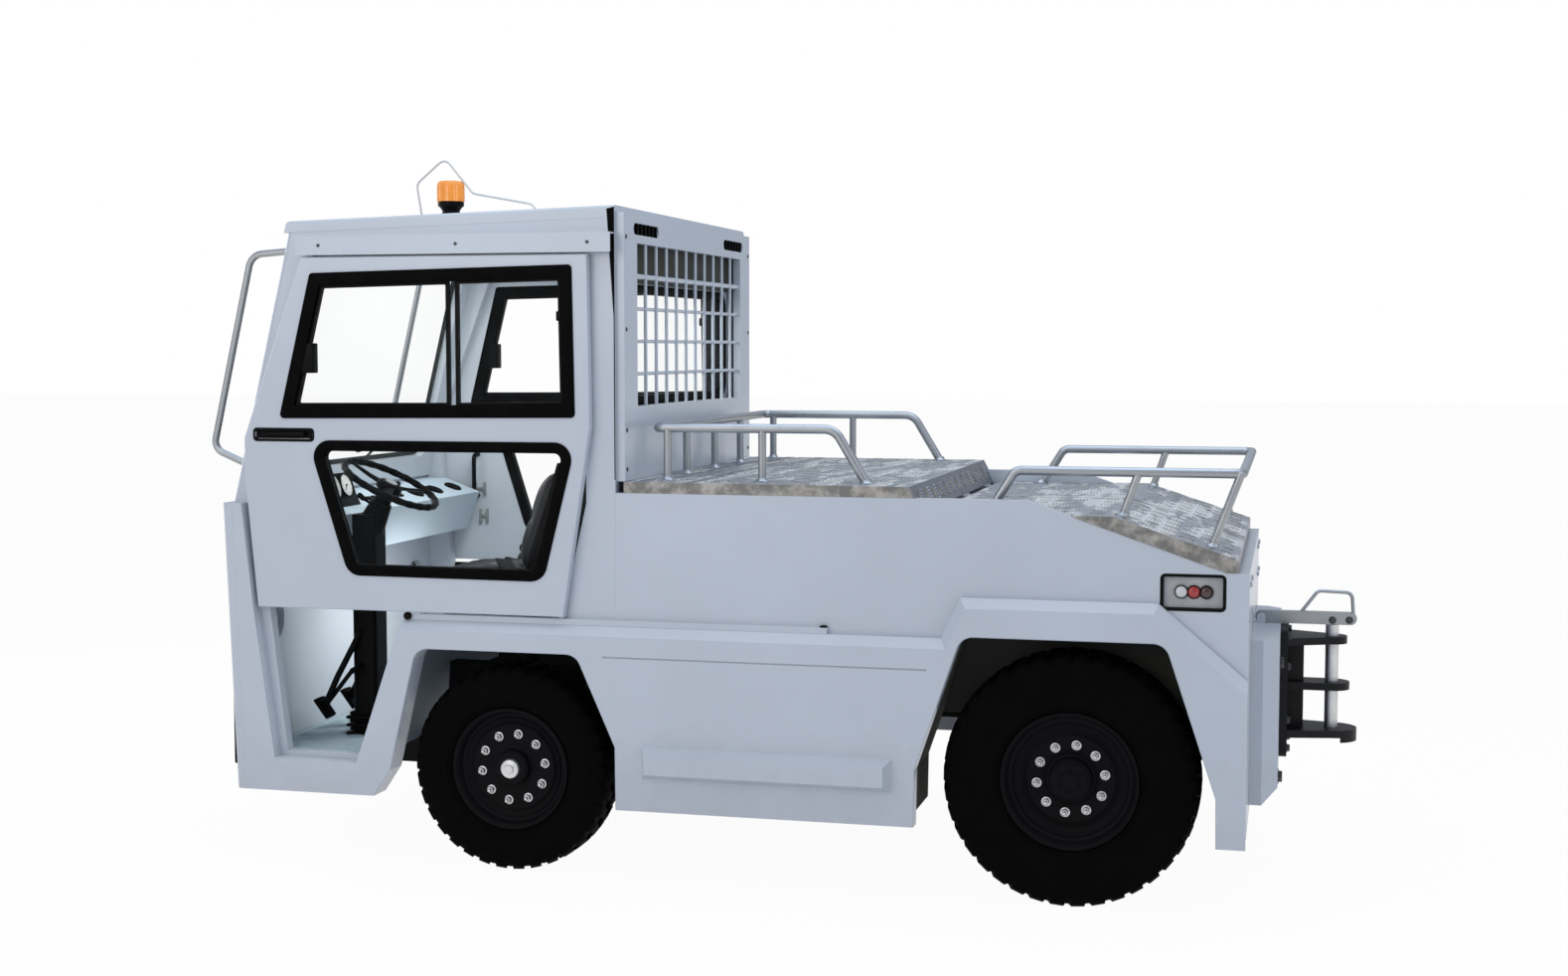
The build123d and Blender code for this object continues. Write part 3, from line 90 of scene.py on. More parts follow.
class Paint:  # a material while its nodes are being laid
    def __init__(self, name, colour, roughness, metallic=0.0, fixed=None):
        self.material = bpy.data.materials.new(name)
        self.material.use_nodes = True
        self.tree = self.material.node_tree
        self.shader = self.tree.nodes["Principled BSDF"]
        self.shader.inputs["Base Color"].default_value = (*colour, 1)
        self.shader.inputs["Roughness"].default_value = roughness
        self.shader.inputs["Metallic"].default_value = metallic
        for socket, value in (fixed or {}).items():
            self.shader.inputs[socket].default_value = value
        self.material.diffuse_color = (*colour, 1)

    def node(self, kind, settings=None, links=None, out=None):
        made = self.tree.nodes.new(kind)
        for key, value in (settings or {}).items():
            setattr(made, key, value)
        for key, value in (links or {}).items():
            if isinstance(key, int):
                socket = made.inputs[key]
            else:
                socket = next(s for s in made.inputs if s.name == key and s.enabled)
            if isinstance(value, Wire):
                self.tree.links.new(value.out, socket)
            elif isinstance(value, tuple) and socket.type == "RGBA":
                socket.default_value = (*value, 1)
            else:
                socket.default_value = value
        found = [s for s in made.outputs if s.enabled]
        return Wire(self, next(s for s in found if s.name == out) if out else found[0])

    def place(self):
        return self.node("ShaderNodeTexCoord", out="Object")

    def facing(self, axis):  # how far the surface faces along an axis
        normal = self.node("ShaderNodeTexCoord", out="Normal")
        return self.node("ShaderNodeSeparateXYZ", None, {0: normal}, axis)

    def noise(self, scale, detail=3.0, rough=0.5, stretch=None):
        where = self.place()
        if stretch:
            where = self.node("ShaderNodeMapping", None, {"Vector": where, "Scale": stretch})
        return self.node("ShaderNodeTexNoise", None,
                         {"Vector": where, "Scale": scale, "Detail": detail, "Roughness": rough}, "Fac")

    def clamp(self, value, low, high):
        return self.node("ShaderNodeMapRange", None, {"Value": value, "From Min": low, "From Max": high},
                         "Result")

    def mix(self, share, first, second):
        return self.node("ShaderNodeMix", {"data_type": "RGBA"}, {"Factor": share, "A": first, "B": second},
                         "Result")

    def height(self):
        return self.node("ShaderNodeSeparateXYZ", None, {0: self.place()}, "Z")

    def feed(self, socket, value):
        self.tree.links.new(value.out, self.shader.inputs[socket])
        return self

    def bump(self, value, distance, strength=1.0):
        normal = self.node("ShaderNodeBump", None,
                           {"Height": value, "Distance": distance, "Strength": strength}, "Normal")
        return self.feed("Normal", normal)


def toned(colour, share):
    return tuple(c * share for c in colour)


def paintedSteel(name, colour, dirt, roughness=0.3, low=0.24, high=0.62, coat=0.35, shine=0.5):
    # sprayed enamel: orange peel, cloudy tone, dust that gathers between two heights low down
    paint = Paint(name, colour, roughness, 0.0,
                  {"Coat Weight": coat, "Coat Roughness": 0.12, "Specular IOR Level": shine})
    cloud = paint.noise(1.7, 5.0, 0.6)
    tone = paint.mix(paint.clamp(cloud, 0.3, 0.7), toned(colour, 0.955), toned(colour, 1.03))
    splash = paint.noise(7.0, 8.0, 0.68)
    lowDown = 1.0 - paint.clamp(paint.height(), low, high)
    film = paint.clamp(splash + lowDown * 0.4, 0.62, 1.1) * 0.2
    specks = paint.clamp(paint.noise(95.0, 2.0, 0.5), 0.70, 0.78) * 0.16
    paint.feed("Base Color", paint.mix(film + specks, tone, dirt))
    paint.feed("Roughness", roughness + film * 0.4 + cloud * 0.08)
    return paint.bump(paint.noise(210.0, 2.0) + paint.noise(6.0, 2.0) * 1.6, 0.00035, 0.5).material


def brushedMetal(name, colour, roughness, stain=0.25, sideways=0.0):
    # sideways sets the strength of a painted olive reflection on faces that look sideways
    paint = Paint(name, colour, roughness, 1.0)
    lines = paint.noise(160.0, 4.0, 0.6)
    dull = paint.clamp(paint.noise(9.0, 6.0, 0.65), 0.48, 0.72) * stain
    upright = 1.0 - paint.clamp(paint.facing("Z"), 0.1, 0.75)
    warm = (colour[0] * 0.60, colour[1] * 0.585, colour[2] * 0.53)  # painted reflection: steel that faces sideways is tinted olive
    tone = paint.mix(upright * sideways, colour, warm)
    paint.feed("Base Color", paint.mix(dull, tone, toned(colour, 0.62)))
    paint.feed("Roughness", roughness + lines * 0.16 + dull * 0.5)
    return paint.bump(lines, 0.0002, 0.6).material


def treadSheet(name, bright, dull, share):
    # patterned plate: painted highlight patches, narrow along the tug and long across it, with painted shade
    # on faces that look backward and a painted brown reflection on faces that look sideways
    paint = Paint(name, bright, 0.3, 0.3)
    warm = (0.29, 0.27, 0.24)
    paintedShadeColour = (dull[0] * 0.26, dull[1] * 0.30, dull[2] * 0.34)
    lines = paint.noise(160.0, 4.0, 0.6, (1, 6, 1))
    # painted highlight: noise patches mix the plate from its dull colour to its bright one
    paintedHighlight = paint.clamp(paint.noise(1.0, 2.0, 0.55, (13, 2.6, 3)), share, share + 0.07)
    grime = paint.clamp(paint.noise(4.5, 5.0, 0.65), 0.5, 0.64)
    leftward = paint.facing("Y")
    tone = paint.mix(paintedHighlight, dull, bright)
    # painted shade: faces that look backward are darkened towards a shaded colour
    tone = paint.mix(paint.clamp(paint.facing("X"), 0.45, 0.58) * 0.95, tone, paintedShadeColour)
    tone = paint.mix(grime * 0.3, tone, toned(warm, 1.25))
    # painted reflection: faces that look sideways take a mottled brown colour
    flecks = paint.clamp(paint.noise(26.0, 4.0, 0.6), 0.42, 0.62)
    paintedSideReflection = paint.mix(flecks, toned(warm, 0.55), toned(warm, 1.3))
    upright = paint.clamp(leftward * leftward, 0.1, 0.5)
    paint.feed("Base Color", paint.mix(upright * 0.9, tone, paintedSideReflection))
    paint.feed("Roughness", lines * 0.12 + grime * 0.2 + 0.24)
    return paint.bump(lines, 0.0002, 0.6).material


def mouldedRubber(name, colour, roughness=0.62, grain=420.0, dust=0.25, dustColour=(0.17, 0.16, 0.15)):
    paint = Paint(name, colour, roughness, 0.0, {"Specular IOR Level": 0.03})
    patches = paint.clamp(paint.noise(13.0, 7.0, 0.7), 0.46, 0.8) * dust
    paint.feed("Base Color", paint.mix(patches, colour, dustColour))
    paint.feed("Roughness", roughness + patches * 0.5)
    return paint.bump(paint.noise(grain, 3.0), 0.0003, 0.6).material


def grainedPlastic(name, colour, roughness=0.5, shine=0.5):
    paint = Paint(name, colour, roughness, 0.0, {"Specular IOR Level": shine})
    pores = paint.node("ShaderNodeTexVoronoi", None, {"Vector": paint.place(), "Scale": 340.0}, "Distance")
    haze = paint.clamp(paint.noise(11.0, 5.0, 0.6), 0.45, 0.8)
    paint.feed("Base Color", paint.mix(haze * 0.5, colour, tuple(min(1, c * 1.8 + 0.001) for c in colour)))
    paint.feed("Roughness", roughness + haze * 0.14)
    return paint.bump(pores, 0.0005, 0.6).material


def wovenCloth(name, colour, thread):
    paint = Paint(name, colour, 0.85, 0.0, {"Sheen Weight": 0.3, "Sheen Roughness": 0.5})
    axes = [paint.node("ShaderNodeSeparateXYZ", None, {0: paint.place()}, a) for a in "XYZ"]
    weft = paint.node("ShaderNodeMath", {"operation": "SINE"}, {0: axes[1] * thread})
    warp = paint.node("ShaderNodeMath", {"operation": "SINE"}, {0: (axes[0] + axes[2]) * thread})
    paint.feed("Base Color", paint.mix(paint.noise(30.0, 5.0, 0.7), toned(colour, 0.7), toned(colour, 1.5)))
    return paint.bump(weft * warp, 0.0005, 0.5).material


def leatherLike(name, colour, roughness, shine):
    paint = Paint(name, colour, roughness, 0.0, {"Specular IOR Level": shine})
    creases = paint.node("ShaderNodeTexVoronoi", {"feature": "DISTANCE_TO_EDGE"},
                         {"Vector": paint.place(), "Scale": 170.0}, "Distance")
    grain = paint.clamp(creases, 0.0, 0.25)
    worn = paint.clamp(paint.noise(6.0, 5.0, 0.65), 0.45, 0.8)
    paint.feed("Base Color", paint.mix(worn * 0.5, colour, toned(colour, 2.1)))
    paint.feed("Roughness", roughness + worn * 0.2 - grain * 0.08)
    return paint.bump(grain + paint.noise(20.0, 3.0) * 0.8, 0.0006, 0.7).material


def clearGlass(name, colour, tint=0.002, roughness=0.03):
    # thin glazing: mostly clear, a painted sheen from opacity that grows at grazing angles, faint dust
    paint = Paint(name, colour, roughness, 0.0, {"IOR": 1.45})
    fresnel = paint.node("ShaderNodeFresnel", None, {"IOR": 1.45}, "Fac")
    dust = paint.clamp(paint.noise(16.0, 7.0, 0.7), 0.5, 0.8) * 0.008
    paint.feed("Alpha", tint + fresnel * 0.07 + dust)
    paint.feed("Roughness", roughness + dust)
    return paint.material


def lensPlastic(name, colour, glow=0.0, alpha=0.9):
    paint = Paint(name, colour, 0.12, 0.0, {"Coat Weight": 0.6, "Emission Strength": glow})
    swirl = paint.clamp(paint.noise(40.0, 3.0), 0.3, 0.8)
    shade = paint.mix(swirl, toned(colour, 0.82), colour)
    paint.feed("Base Color", shade)
    paint.feed("Emission Color", shade)
    paint.feed("Alpha", alpha + swirl * 0.05)
    return paint.bump(swirl, 0.0003, 0.3).material


finish = {}
blackPaint, blackRubber = (0.006, 0.006, 0.007), (0.002, 0.002, 0.0022)
noSplash = {"low": -4, "high": -3}  # heights below the ground, so that no dirt gathers


def addFinish(name, make, *values, **settings):
    finish[name] = make(name, *values, **settings)


addFinish("whitePaint", paintedSteel, (0.50, 0.535, 0.595), (0.27, 0.25, 0.22))
addFinish("whitePaintHigh", paintedSteel, (0.505, 0.54, 0.60), (0.34, 0.33, 0.31), **noSplash)
addFinish("stepPaint", paintedSteel, (0.34, 0.42, 0.48), (0.20, 0.20, 0.19), 0.55, coat=0.0)
addFinish("blackPaint", paintedSteel, blackPaint, (0.03, 0.027, 0.024), 0.42, coat=0.03, shine=0.2)
addFinish("castBlack", paintedSteel, blackPaint, (0.04, 0.034, 0.028), 0.6, coat=0.0, shine=0.15)
addFinish("rimPaint", paintedSteel, (0.004, 0.004, 0.005), (0.012, 0.011, 0.009), 0.5, coat=0.0, shine=0.07)
addFinish("housingPaint", paintedSteel, (0.055, 0.056, 0.045), (0.12, 0.11, 0.09), 0.8, coat=0.0)
addFinish("engineGrey", paintedSteel, (0.10, 0.11, 0.12), (0.07, 0.055, 0.04), 0.55, coat=0.1)
addFinish("paleRod", paintedSteel, (0.62, 0.63, 0.62), (0.4, 0.4, 0.38), **noSplash)
addFinish("dashPaint", paintedSteel, (0.50, 0.58, 0.66), (0.25, 0.26, 0.26), 0.45, coat=0.0, **noSplash)
addFinish("bareSteel", brushedMetal, (0.50, 0.53, 0.58), 0.30, sideways=0.7)
addFinish("boltSteel", brushedMetal, (0.66, 0.66, 0.67), 0.3, 0.4)
addFinish("darkBolt", brushedMetal, (0.08, 0.08, 0.085), 0.4)
addFinish("zincPlate", brushedMetal, (0.36, 0.36, 0.35), 0.4, 0.5)
addFinish("chrome", brushedMetal, (0.85, 0.86, 0.88), 0.08, 0.05)
addFinish("treadPlate", treadSheet, (0.68, 0.69, 0.71), (0.31, 0.33, 0.37), 0.50)
# a darker copy of the bar colours, painted shade for cells turned the other way
addFinish("treadBarDull", treadSheet, (0.90, 0.91, 0.93), (0.29, 0.31, 0.36), 0.50)
addFinish("treadBar", treadSheet, (0.95, 0.96, 0.97), (0.40, 0.44, 0.50), 0.48)
addFinish("sealRubber", mouldedRubber, blackRubber, 0.55, dust=0.015)
addFinish("tyreRubber", mouldedRubber, blackRubber, 0.75, 300.0, 0.05, (0.03, 0.027, 0.024))
addFinish("cabPlastic", grainedPlastic, (0.028, 0.029, 0.031))
addFinish("lampGrey", grainedPlastic, (0.40, 0.40, 0.41), 0.4)
addFinish("greyPlastic", grainedPlastic, (0.22, 0.225, 0.23), 0.45)
addFinish("blackPlastic", grainedPlastic, blackRubber, 0.42, 0.09)
addFinish("wheelGrip", leatherLike, blackRubber, 0.38, 0.07)
addFinish("seatVinyl", leatherLike, (0.012, 0.012, 0.013), 0.42, 0.4)
addFinish("webbing", wovenCloth, (0.02, 0.02, 0.022), 1500.0)
addFinish("clearGlass", clearGlass, (0.55, 0.60, 0.60))
addFinish("lampGlass", clearGlass, (0.95, 0.97, 1.0), 0.10, 0.02)
addFinish("amberLens", lensPlastic, (0.93, 0.33, 0.035), 0.22)
addFinish("redLens", lensPlastic, (0.42, 0.02, 0.02), 0.05)
addFinish("whiteLens", lensPlastic, (0.74, 0.75, 0.76), 0.03)
addFinish("darkLens", lensPlastic, (0.06, 0.02, 0.02))
addFinish("dialFace", lensPlastic, (0.75, 0.76, 0.74), 0.1, 0.95)

nodeFinish = {
    "whitePaint": "side_skirts nose_panel rear_panel counterweight",
    "whitePaintHigh": "cab_sides cab_front_frame cab_roof cab_rear_wall rear_guard body_sides "
                      "door_left door_right door_rails",
    "sealRubber": "bumper_pad door_frames_left door_frames_right",
    "clearGlass": "fixed_glass door_glass_left door_glass_right",
    "bareSteel": "front_deck_rail rear_hood_rail grab_rails pin_arm",
    "castBlack": "chassis_frame front_axle rear_axle knuckle_left knuckle_right track_rod",
    "treadPlate": "front_deck rear_hood", "housingPaint": "wheel_housings", "stepPaint": "cab_floor",
    "cabPlastic": "beacon_base", "amberLens": "beacon_lens", "blackPaint": "tow_hitch",
    "boltSteel": "tow_pin", "seatVinyl": "seats", "dashPaint": "dashboard",
    "blackPlastic": "steering_column", "wheelGrip": "steering_wheel", "engineGrey": "engine_block",
    "lampGlass": "lamps",
}
finishOf = {node: look for look, listed in nodeFinish.items() for node in listed.split()}
for name, cadNode in nodes.items():
    wanted = finishOf.get(name) or ("tyreRubber" if name.startswith("tyre") else "rimPaint")
    cadNode.data.materials.clear()
    cadNode.data.materials.append(finish[wanted])
print("materials", len(finish))


# Mesh helpers: each adds its shape to a bmesh, in metres, in the row frame

def addSkin(mesh, rings, looped=False, split=False):
    # faces between rings of points; a ring may be one point, and a split ring stays open
    for one, two in zip(rings, rings[1:] + (rings[:1] if looped else [])):
        count = max(len(one), len(two))
        for i in range(count - 1 if split else count):
            j = (i + 1) % count
            corners = [one[i % len(one)], one[j % len(one)], two[j % len(two)], two[i % len(two)]]
            corners = list(dict.fromkeys(corners))
            if len(corners) > 2:
                mesh.faces.new(corners)


def addBox(mesh, low, high, bevel=0.0, turn=None, parts=1):
    low, high = Vector(low), Vector(high)
    size = high - low
    place = Matrix.Translation((low + high) / 2) @ (turn or Matrix()) @ Matrix.Diagonal((*size, 1))
    made = bmesh.ops.create_cube(mesh, size=1.0, matrix=place)["verts"]
    if bevel:
        edges = list({e for v in made for e in v.link_edges})
        bmesh.ops.bevel(mesh, geom=edges, offset=min(bevel, min(size) * 0.45), segments=parts,
                        affect="EDGES", profile=0.5)


def addSideBox(mesh, outward, x, y, z, bevel=0.0, parts=1):
    # pairs of ends along X and Z, and two distances from the middle plane towards one side
    near, far = sorted(outward * v for v in y)
    addBox(mesh, (x[0], near, z[0]), (x[1], far, z[1]), bevel, parts=parts)


def sideAxes(axis):
    axis = Vector(axis).normalized()
    helper = Vector((0, 0, 1)) if abs(axis.z) < 0.9 else Vector((1, 0, 0))
    across = axis.cross(helper).normalized()
    return axis, across, axis.cross(across)


def addLathe(mesh, profile, origin, axis, steps=32):
    # profile: pairs of radius and distance along the axis
    axis, across, other = sideAxes(axis)
    origin = Vector(origin)
    rings = []
    for radius, along in profile:
        centre = origin + axis * along
        if radius < 1e-6:
            rings.append([mesh.verts.new(centre)])
            continue
        rings.append([mesh.verts.new(centre + (across * math.cos(a) + other * math.sin(a)) * radius)
                      for a in (2 * math.pi * i / steps for i in range(steps))])
    addSkin(mesh, rings)


def addBolt(mesh, at, axis, r, high, washer=1.35, turn=0.0):
    # hexagon head on a washer, lying on the surface at a point
    axis, across, other = sideAxes(axis)
    at = Vector(at)
    addLathe(mesh, [(0, 0), (r * washer, 0), (r * washer, high * 0.16), (r * 0.9, high * 0.22)], at, axis, 18)
    corners = [(across * math.cos(a) + other * math.sin(a)) * r
               for a in (turn + math.pi * k / 3 for k in range(6))]
    rings = [[mesh.verts.new(at + axis * high * level + corner * share) for corner in corners]
             for share, level in ((1.0, 0.18), (1.0, 0.86), (0.84, 1.0))]
    addSkin(mesh, rings)
    mesh.faces.new(rings[-1])


def addRivet(mesh, at, axis, r, high):
    addLathe(mesh, [(r, 0), (r * 0.92, high * 0.55), (r * 0.6, high * 0.9), (0, high)], at, axis, 14)


def roundedPath(points, radius, parts=6, closed=False):
    # a polyline whose corners are turned into arcs
    points = [Vector(p) for p in points]
    result = []
    count = len(points)
    for i, here in enumerate(points):
        if not closed and i in (0, count - 1):
            result.append(here)
            continue
        back = points[i - 1] - here
        ahead = points[(i + 1) % count] - here
        angle = back.angle(ahead)
        if radius < 1e-6 or angle > math.pi - 0.02:
            result.append(here)
            continue
        reach = min(radius / math.tan(angle / 2), back.length * 0.49, ahead.length * 0.49)
        r = reach * math.tan(angle / 2)
        bisector = (back.normalized() + ahead.normalized()).normalized()
        centre = here + bisector * (r / math.sin(angle / 2))
        start = here + back.normalized() * reach - centre
        end = here + ahead.normalized() * reach - centre
        sweep = start.angle(end)
        axis = start.cross(end).normalized()
        for k in range(parts + 1):
            result.append(centre + Matrix.Rotation(sweep * k / parts, 3, axis) @ start)
    return result


def addTube(mesh, points, r, steps=12, closed=False, flat=1.0):
    # a swept section carried along the points without twist; r may be a list, one for each point
    points = [Vector(p) for p in points]
    count = len(points)
    tangents = []
    for i in range(count):
        a = points[i - 1] if (i or closed) else points[0]
        b = points[(i + 1) % count] if (i < count - 1 or closed) else points[-1]
        tangents.append((b - a).normalized())
    across = sideAxes(tangents[0])[1]
    rings = []
    for i, point in enumerate(points):
        if i:
            across = tangents[i - 1].rotation_difference(tangents[i]) @ across
        other = tangents[i].cross(across).normalized()
        across = other.cross(tangents[i]).normalized()
        radius = r[i] if isinstance(r, (list, tuple)) else r
        rings.append([mesh.verts.new(point + (across * math.cos(a) + other * math.sin(a) * flat) * radius)
                      for a in (2 * math.pi * k / steps for k in range(steps))])
    addSkin(mesh, rings, closed)
    if not closed:
        mesh.faces.new(rings[0][::-1])
        mesh.faces.new(rings[-1])


def addBend(mesh, points, radius, r, steps=12, parts=5):
    # a tube whose corners are rounded
    addTube(mesh, roundedPath(points, radius, parts), r, steps)


def addPlate(mesh, outline, place, depth, bevel=0.0):
    # a flat outline pushed out from a placed plane, its front rim bevelled
    inset = min(bevel, abs(depth) * 0.5)
    wall = depth - math.copysign(inset, depth) if inset else depth
    levels = [[mesh.verts.new(place @ Vector((u, v, w))) for u, v in outline] for w in (0, wall)]
    if inset:
        cx = sum(u for u, v in outline) / len(outline)
        cy = sum(v for u, v in outline) / len(outline)
        top = []
        for u, v in outline:
            away = Vector((u - cx, v - cy))
            away -= away.normalized() * inset * 1.3
            top.append(mesh.verts.new(place @ Vector((cx + away.x, cy + away.y, depth))))
        levels.append(top)
    addSkin(mesh, levels)
    mesh.faces.new(levels[0][::-1])
    mesh.faces.new(levels[-1])


def addFrame(mesh, outer, inner, place, depth, lift=0.0):
    # a flat ring between two outlines with the same number of points, rounded over by lift
    def between(share):
        return [(a + (c - a) * share, b + (d - b) * share) for (a, b), (c, d) in zip(outer, inner)]

    levels = [(outer, 0.0), (outer, depth - lift), (between(0.3), depth), (between(0.7), depth),
              (inner, depth - lift), (inner, 0.0)]
    addSkin(mesh, [[mesh.verts.new(place @ Vector((u, v, w))) for u, v in line] for line, w in levels], True)


def roundedOutline(corners, radius, parts=6, inset=0.0):
    # a closed 2D outline with round corners, drawn in by an inset
    points = [Vector((u, v, 0)) for u, v in corners]
    if inset:
        moved = []
        count = len(points)
        area = sum(points[i].x * points[(i + 1) % count].y - points[(i + 1) % count].x * points[i].y
                   for i in range(count))
        turn = 1 if area > 0 else -1
        for i in range(count):
            back = (points[i] - points[i - 1]).normalized()
            ahead = (points[(i + 1) % count] - points[i]).normalized()
            n1 = Vector((-back.y, back.x, 0)) * turn
            n2 = Vector((-ahead.y, ahead.x, 0)) * turn
            both = (n1 + n2).normalized()
            moved.append(points[i] + both * (inset / max(0.2, both.dot(n1))))
        points = moved
    return [(p.x, p.y) for p in roundedPath(points, max(radius - inset, 0.004), parts, True)]


def rectangle(u, v, halfU, halfV):
    return [(u + a * halfU, v + b * halfV) for a, b in ((-1, -1), (1, -1), (1, 1), (-1, 1))]


def sidePlane(y, outward):
    # u along X, v up, depth outward from the side of the vehicle
    return Matrix(((1, 0, 0, 0), (0, 0, outward, y), (0, 1, 0, 0), (0, 0, 0, 1)))


def crossPlane(x, outward):
    # u along Y, v up, depth along X
    return Matrix(((0, 0, outward, x), (1, 0, 0, 0), (0, 1, 0, 0), (0, 0, 0, 1)))


def newMeshes(count):
    return [bmesh.new() for _ in range(count)]


def placed(name, data):
    made = bpy.data.objects.new(name, data)
    bpy.context.scene.collection.objects.link(made)
    return made


def objectFrom(name, mesh):
    data = bpy.data.meshes.new(name)
    mesh.to_mesh(data)
    mesh.free()
    return placed(name, data)


def piece(name, mesh, look, body="body", stands=(), crease=38, soften=0.0, levels=0):
    bmesh.ops.recalc_face_normals(mesh, faces=mesh.faces[:])
    made = objectFrom(name, mesh)
    made.data.materials.append(finish[look])
    made.data.shade_smooth()
    made.data.set_sharp_from_angle(angle=math.radians(crease))
    if soften:
        bevel = made.modifiers.new("softEdges", "BEVEL")
        bevel.width = soften
        bevel.segments = 2
        bevel.limit_method = "ANGLE"
        bevel.angle_limit = math.radians(35)
        bevel.harden_normals = False
    if levels:
        rounder = made.modifiers.new("smooth", "SUBSURF")
        rounder.levels = rounder.render_levels = levels
    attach(made, body)
    if stands:
        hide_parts(*stands)
    return made


def fasten(name, body, look, spots):
    # spots: place, direction, radius and height of each head; a low one is a rivet
    mesh = bmesh.new()
    for at, axis, r, high in spots:
        (addRivet if high < r * 0.6 else addBolt)(mesh, at, axis, r, high)
    piece(name, mesh, look, body)


def fromAxle(points):
    # points in millimetres from the front axle, as the side view was measured
    return [(frontAxle + x / 1000, z / 1000) for x, z in points]


# Wheels

wheelStyle = {
    "front": {"r": 0.345, "half": 0.095, "rim": 0.190, "lugs": 34, "nutRing": 0.1125, "hubR": 0.062,
              "hubOut": 0.074, "hubLook": "boltSteel", "hubSlot": "bare_steel"},
    "rear": {"r": 0.400, "half": 0.1075, "rim": 0.203, "lugs": 38, "nutRing": 0.1075, "hubR": 0.070,
             "hubOut": 0.078, "hubLook": "rimPaint", "hubSlot": "rim_paint"},
    "disc": 0.040, "beadIn": 0.022, "nuts": 10, "lugDeep": 0.011,
}
disc = wheelStyle["disc"]


def addTyre(mesh, style, centre, outward):
    r, half, rim = style["r"], style["half"], style["rim"]
    bead = half - wheelStyle["beadIn"]
    deep = wheelStyle["lugDeep"]
    side = [(rim + 0.0004, bead - 0.006), (rim + 0.012, bead), (rim + 0.019, bead + 0.004),
            (rim + 0.030, half - 0.008), (rim + 0.034, half - 0.0045), (rim + 0.040, half - 0.0048),
            (rim + 0.046, half - 0.003), (rim + (r - rim) * 0.45, half),
            (rim + (r - rim) * 0.62, half - 0.0006), (r - 0.050, half - 0.0035), (r - 0.046, half - 0.0022),
            (r - 0.041, half - 0.0042), (r - 0.030, half - 0.008), (r - 0.019, half - 0.016),
            (r - deep - 0.002, half - 0.028), (r - deep, half * 0.45), (r - deep, 0)]
    addLathe(mesh, side + [(a, -b) for a, b in side[-2::-1]] + side[:1], centre, (0, 1, 0), 112)
    count = style["lugs"]
    # a lug from the middle to the shoulder: place across, top radius, share of the pitch
    stations = [(0.006, r - 0.0005, 0.24), (half * 0.42, r - 0.0008, 0.27), (half - 0.030, r - 0.004, 0.31),
                (half - 0.015, r - 0.013, 0.31), (half - 0.0055, r - 0.032, 0.25)]
    for hand in (-1, 1):
        for k in range(count):
            start = 2 * math.pi * (k + (0.5 if hand > 0 else 0)) / count
            rings = []
            for n, (across, top, share) in enumerate(stations):
                slant = (across / half) * 0.10 * outward
                wide = share * 2 * math.pi / count
                base = top - (deep if n < 3 else deep * 0.8)
                rings.append([])
                for radius, offset in ((base, -wide * 1.12), (top, -wide), (top, wide), (base, wide * 1.12)):
                    angle = start + slant + offset
                    spot = Vector((radius * math.sin(angle), hand * across, radius * math.cos(angle)))
                    rings[-1].append(mesh.verts.new(Vector(centre) + spot))
            addSkin(mesh, rings, split=True)
            mesh.faces.new(rings[0])
            mesh.faces.new(rings[-1])


def addRim(mesh, style, centre, outward):
    rim, half, nutRing, hub, out = (style[k] for k in ("rim", "half", "nutRing", "hubR", "hubOut"))
    bead = half - wheelStyle["beadIn"]
    flange = bead + 0.0088
    front = [(rim + 0.0128, bead + 0.001), (rim + 0.0135, bead + 0.005), (rim + 0.011, flange),
             (rim + 0.006, flange), (rim - 0.001, bead + 0.003), (rim - 0.006, bead - 0.010),
             (rim - 0.010, bead - 0.022), (rim - 0.020, bead - 0.026), (rim - 0.022, disc + 0.010),
             (rim - 0.030, disc + 0.002), (rim - 0.045, disc - 0.004), (rim - 0.058, disc - 0.001),
             (nutRing + 0.030, disc + 0.004), (nutRing - 0.024, disc + 0.004), (hub + 0.008, disc + 0.001),
             (hub, disc + 0.004), (hub - 0.003, out - 0.008), (hub - 0.010, out), (hub - 0.030, out + 0.001)]
    back = [(hub - 0.012, 0.030), (rim - 0.055, disc - 0.012), (rim - 0.030, disc - 0.008),
            (rim - 0.026, -bead + 0.02), (rim - 0.010, -bead), (rim - 0.009, -flange + 0.001),
            (rim + 0.011, -flange), (rim + 0.0128, -bead - 0.001), (rim - 0.0005, -bead + 0.001),
            (rim - 0.0005, bead - 0.002), (rim + 0.0128, bead + 0.001)]
    addLathe(mesh, [(a, b * outward) for a, b in front + back], centre, (0, 1, 0), 88)


def addWheelNuts(mesh, style, centre, outward):
    axis, count, ring = (0, outward, 0), wheelStyle["nuts"], style["nutRing"]
    for k in range(count):
        a = 2 * math.pi * (k + 0.25) / count
        at = Vector(centre) + Vector((ring * math.sin(a), outward * (disc + 0.004), ring * math.cos(a)))
        addBolt(mesh, at, axis, 0.0122, 0.016, 1.25, k * 0.7)
        addLathe(mesh, [(0.006, 0.015), (0.006, 0.026), (0.0045, 0.028), (0, 0.028)], at, axis, 12)


def addHub(mesh, style, centre, outward):
    out, r, axis = style["hubOut"], style["hubR"], (0, outward, 0)
    if style["hubLook"] == "boltSteel":
        addLathe(mesh, [(0.034, out - 0.006), (0.034, out + 0.003), (0.030, out + 0.010),
                        (0.016, out + 0.013), (0.014, out + 0.017), (0, out + 0.018)], centre, axis, 40)
        return
    addLathe(mesh, [(r - 0.014, out - 0.004), (r - 0.015, out + 0.003), (0.030, out + 0.006),
                    (0.028, out + 0.010), (0, out + 0.010)], centre, axis, 40)
    for a in (math.pi * k / 3 for k in range(6)):
        spot = Vector((0.040 * math.sin(a), outward * (out + 0.004), 0.040 * math.cos(a)))
        addBolt(mesh, Vector(centre) + spot, axis, 0.006, 0.006)


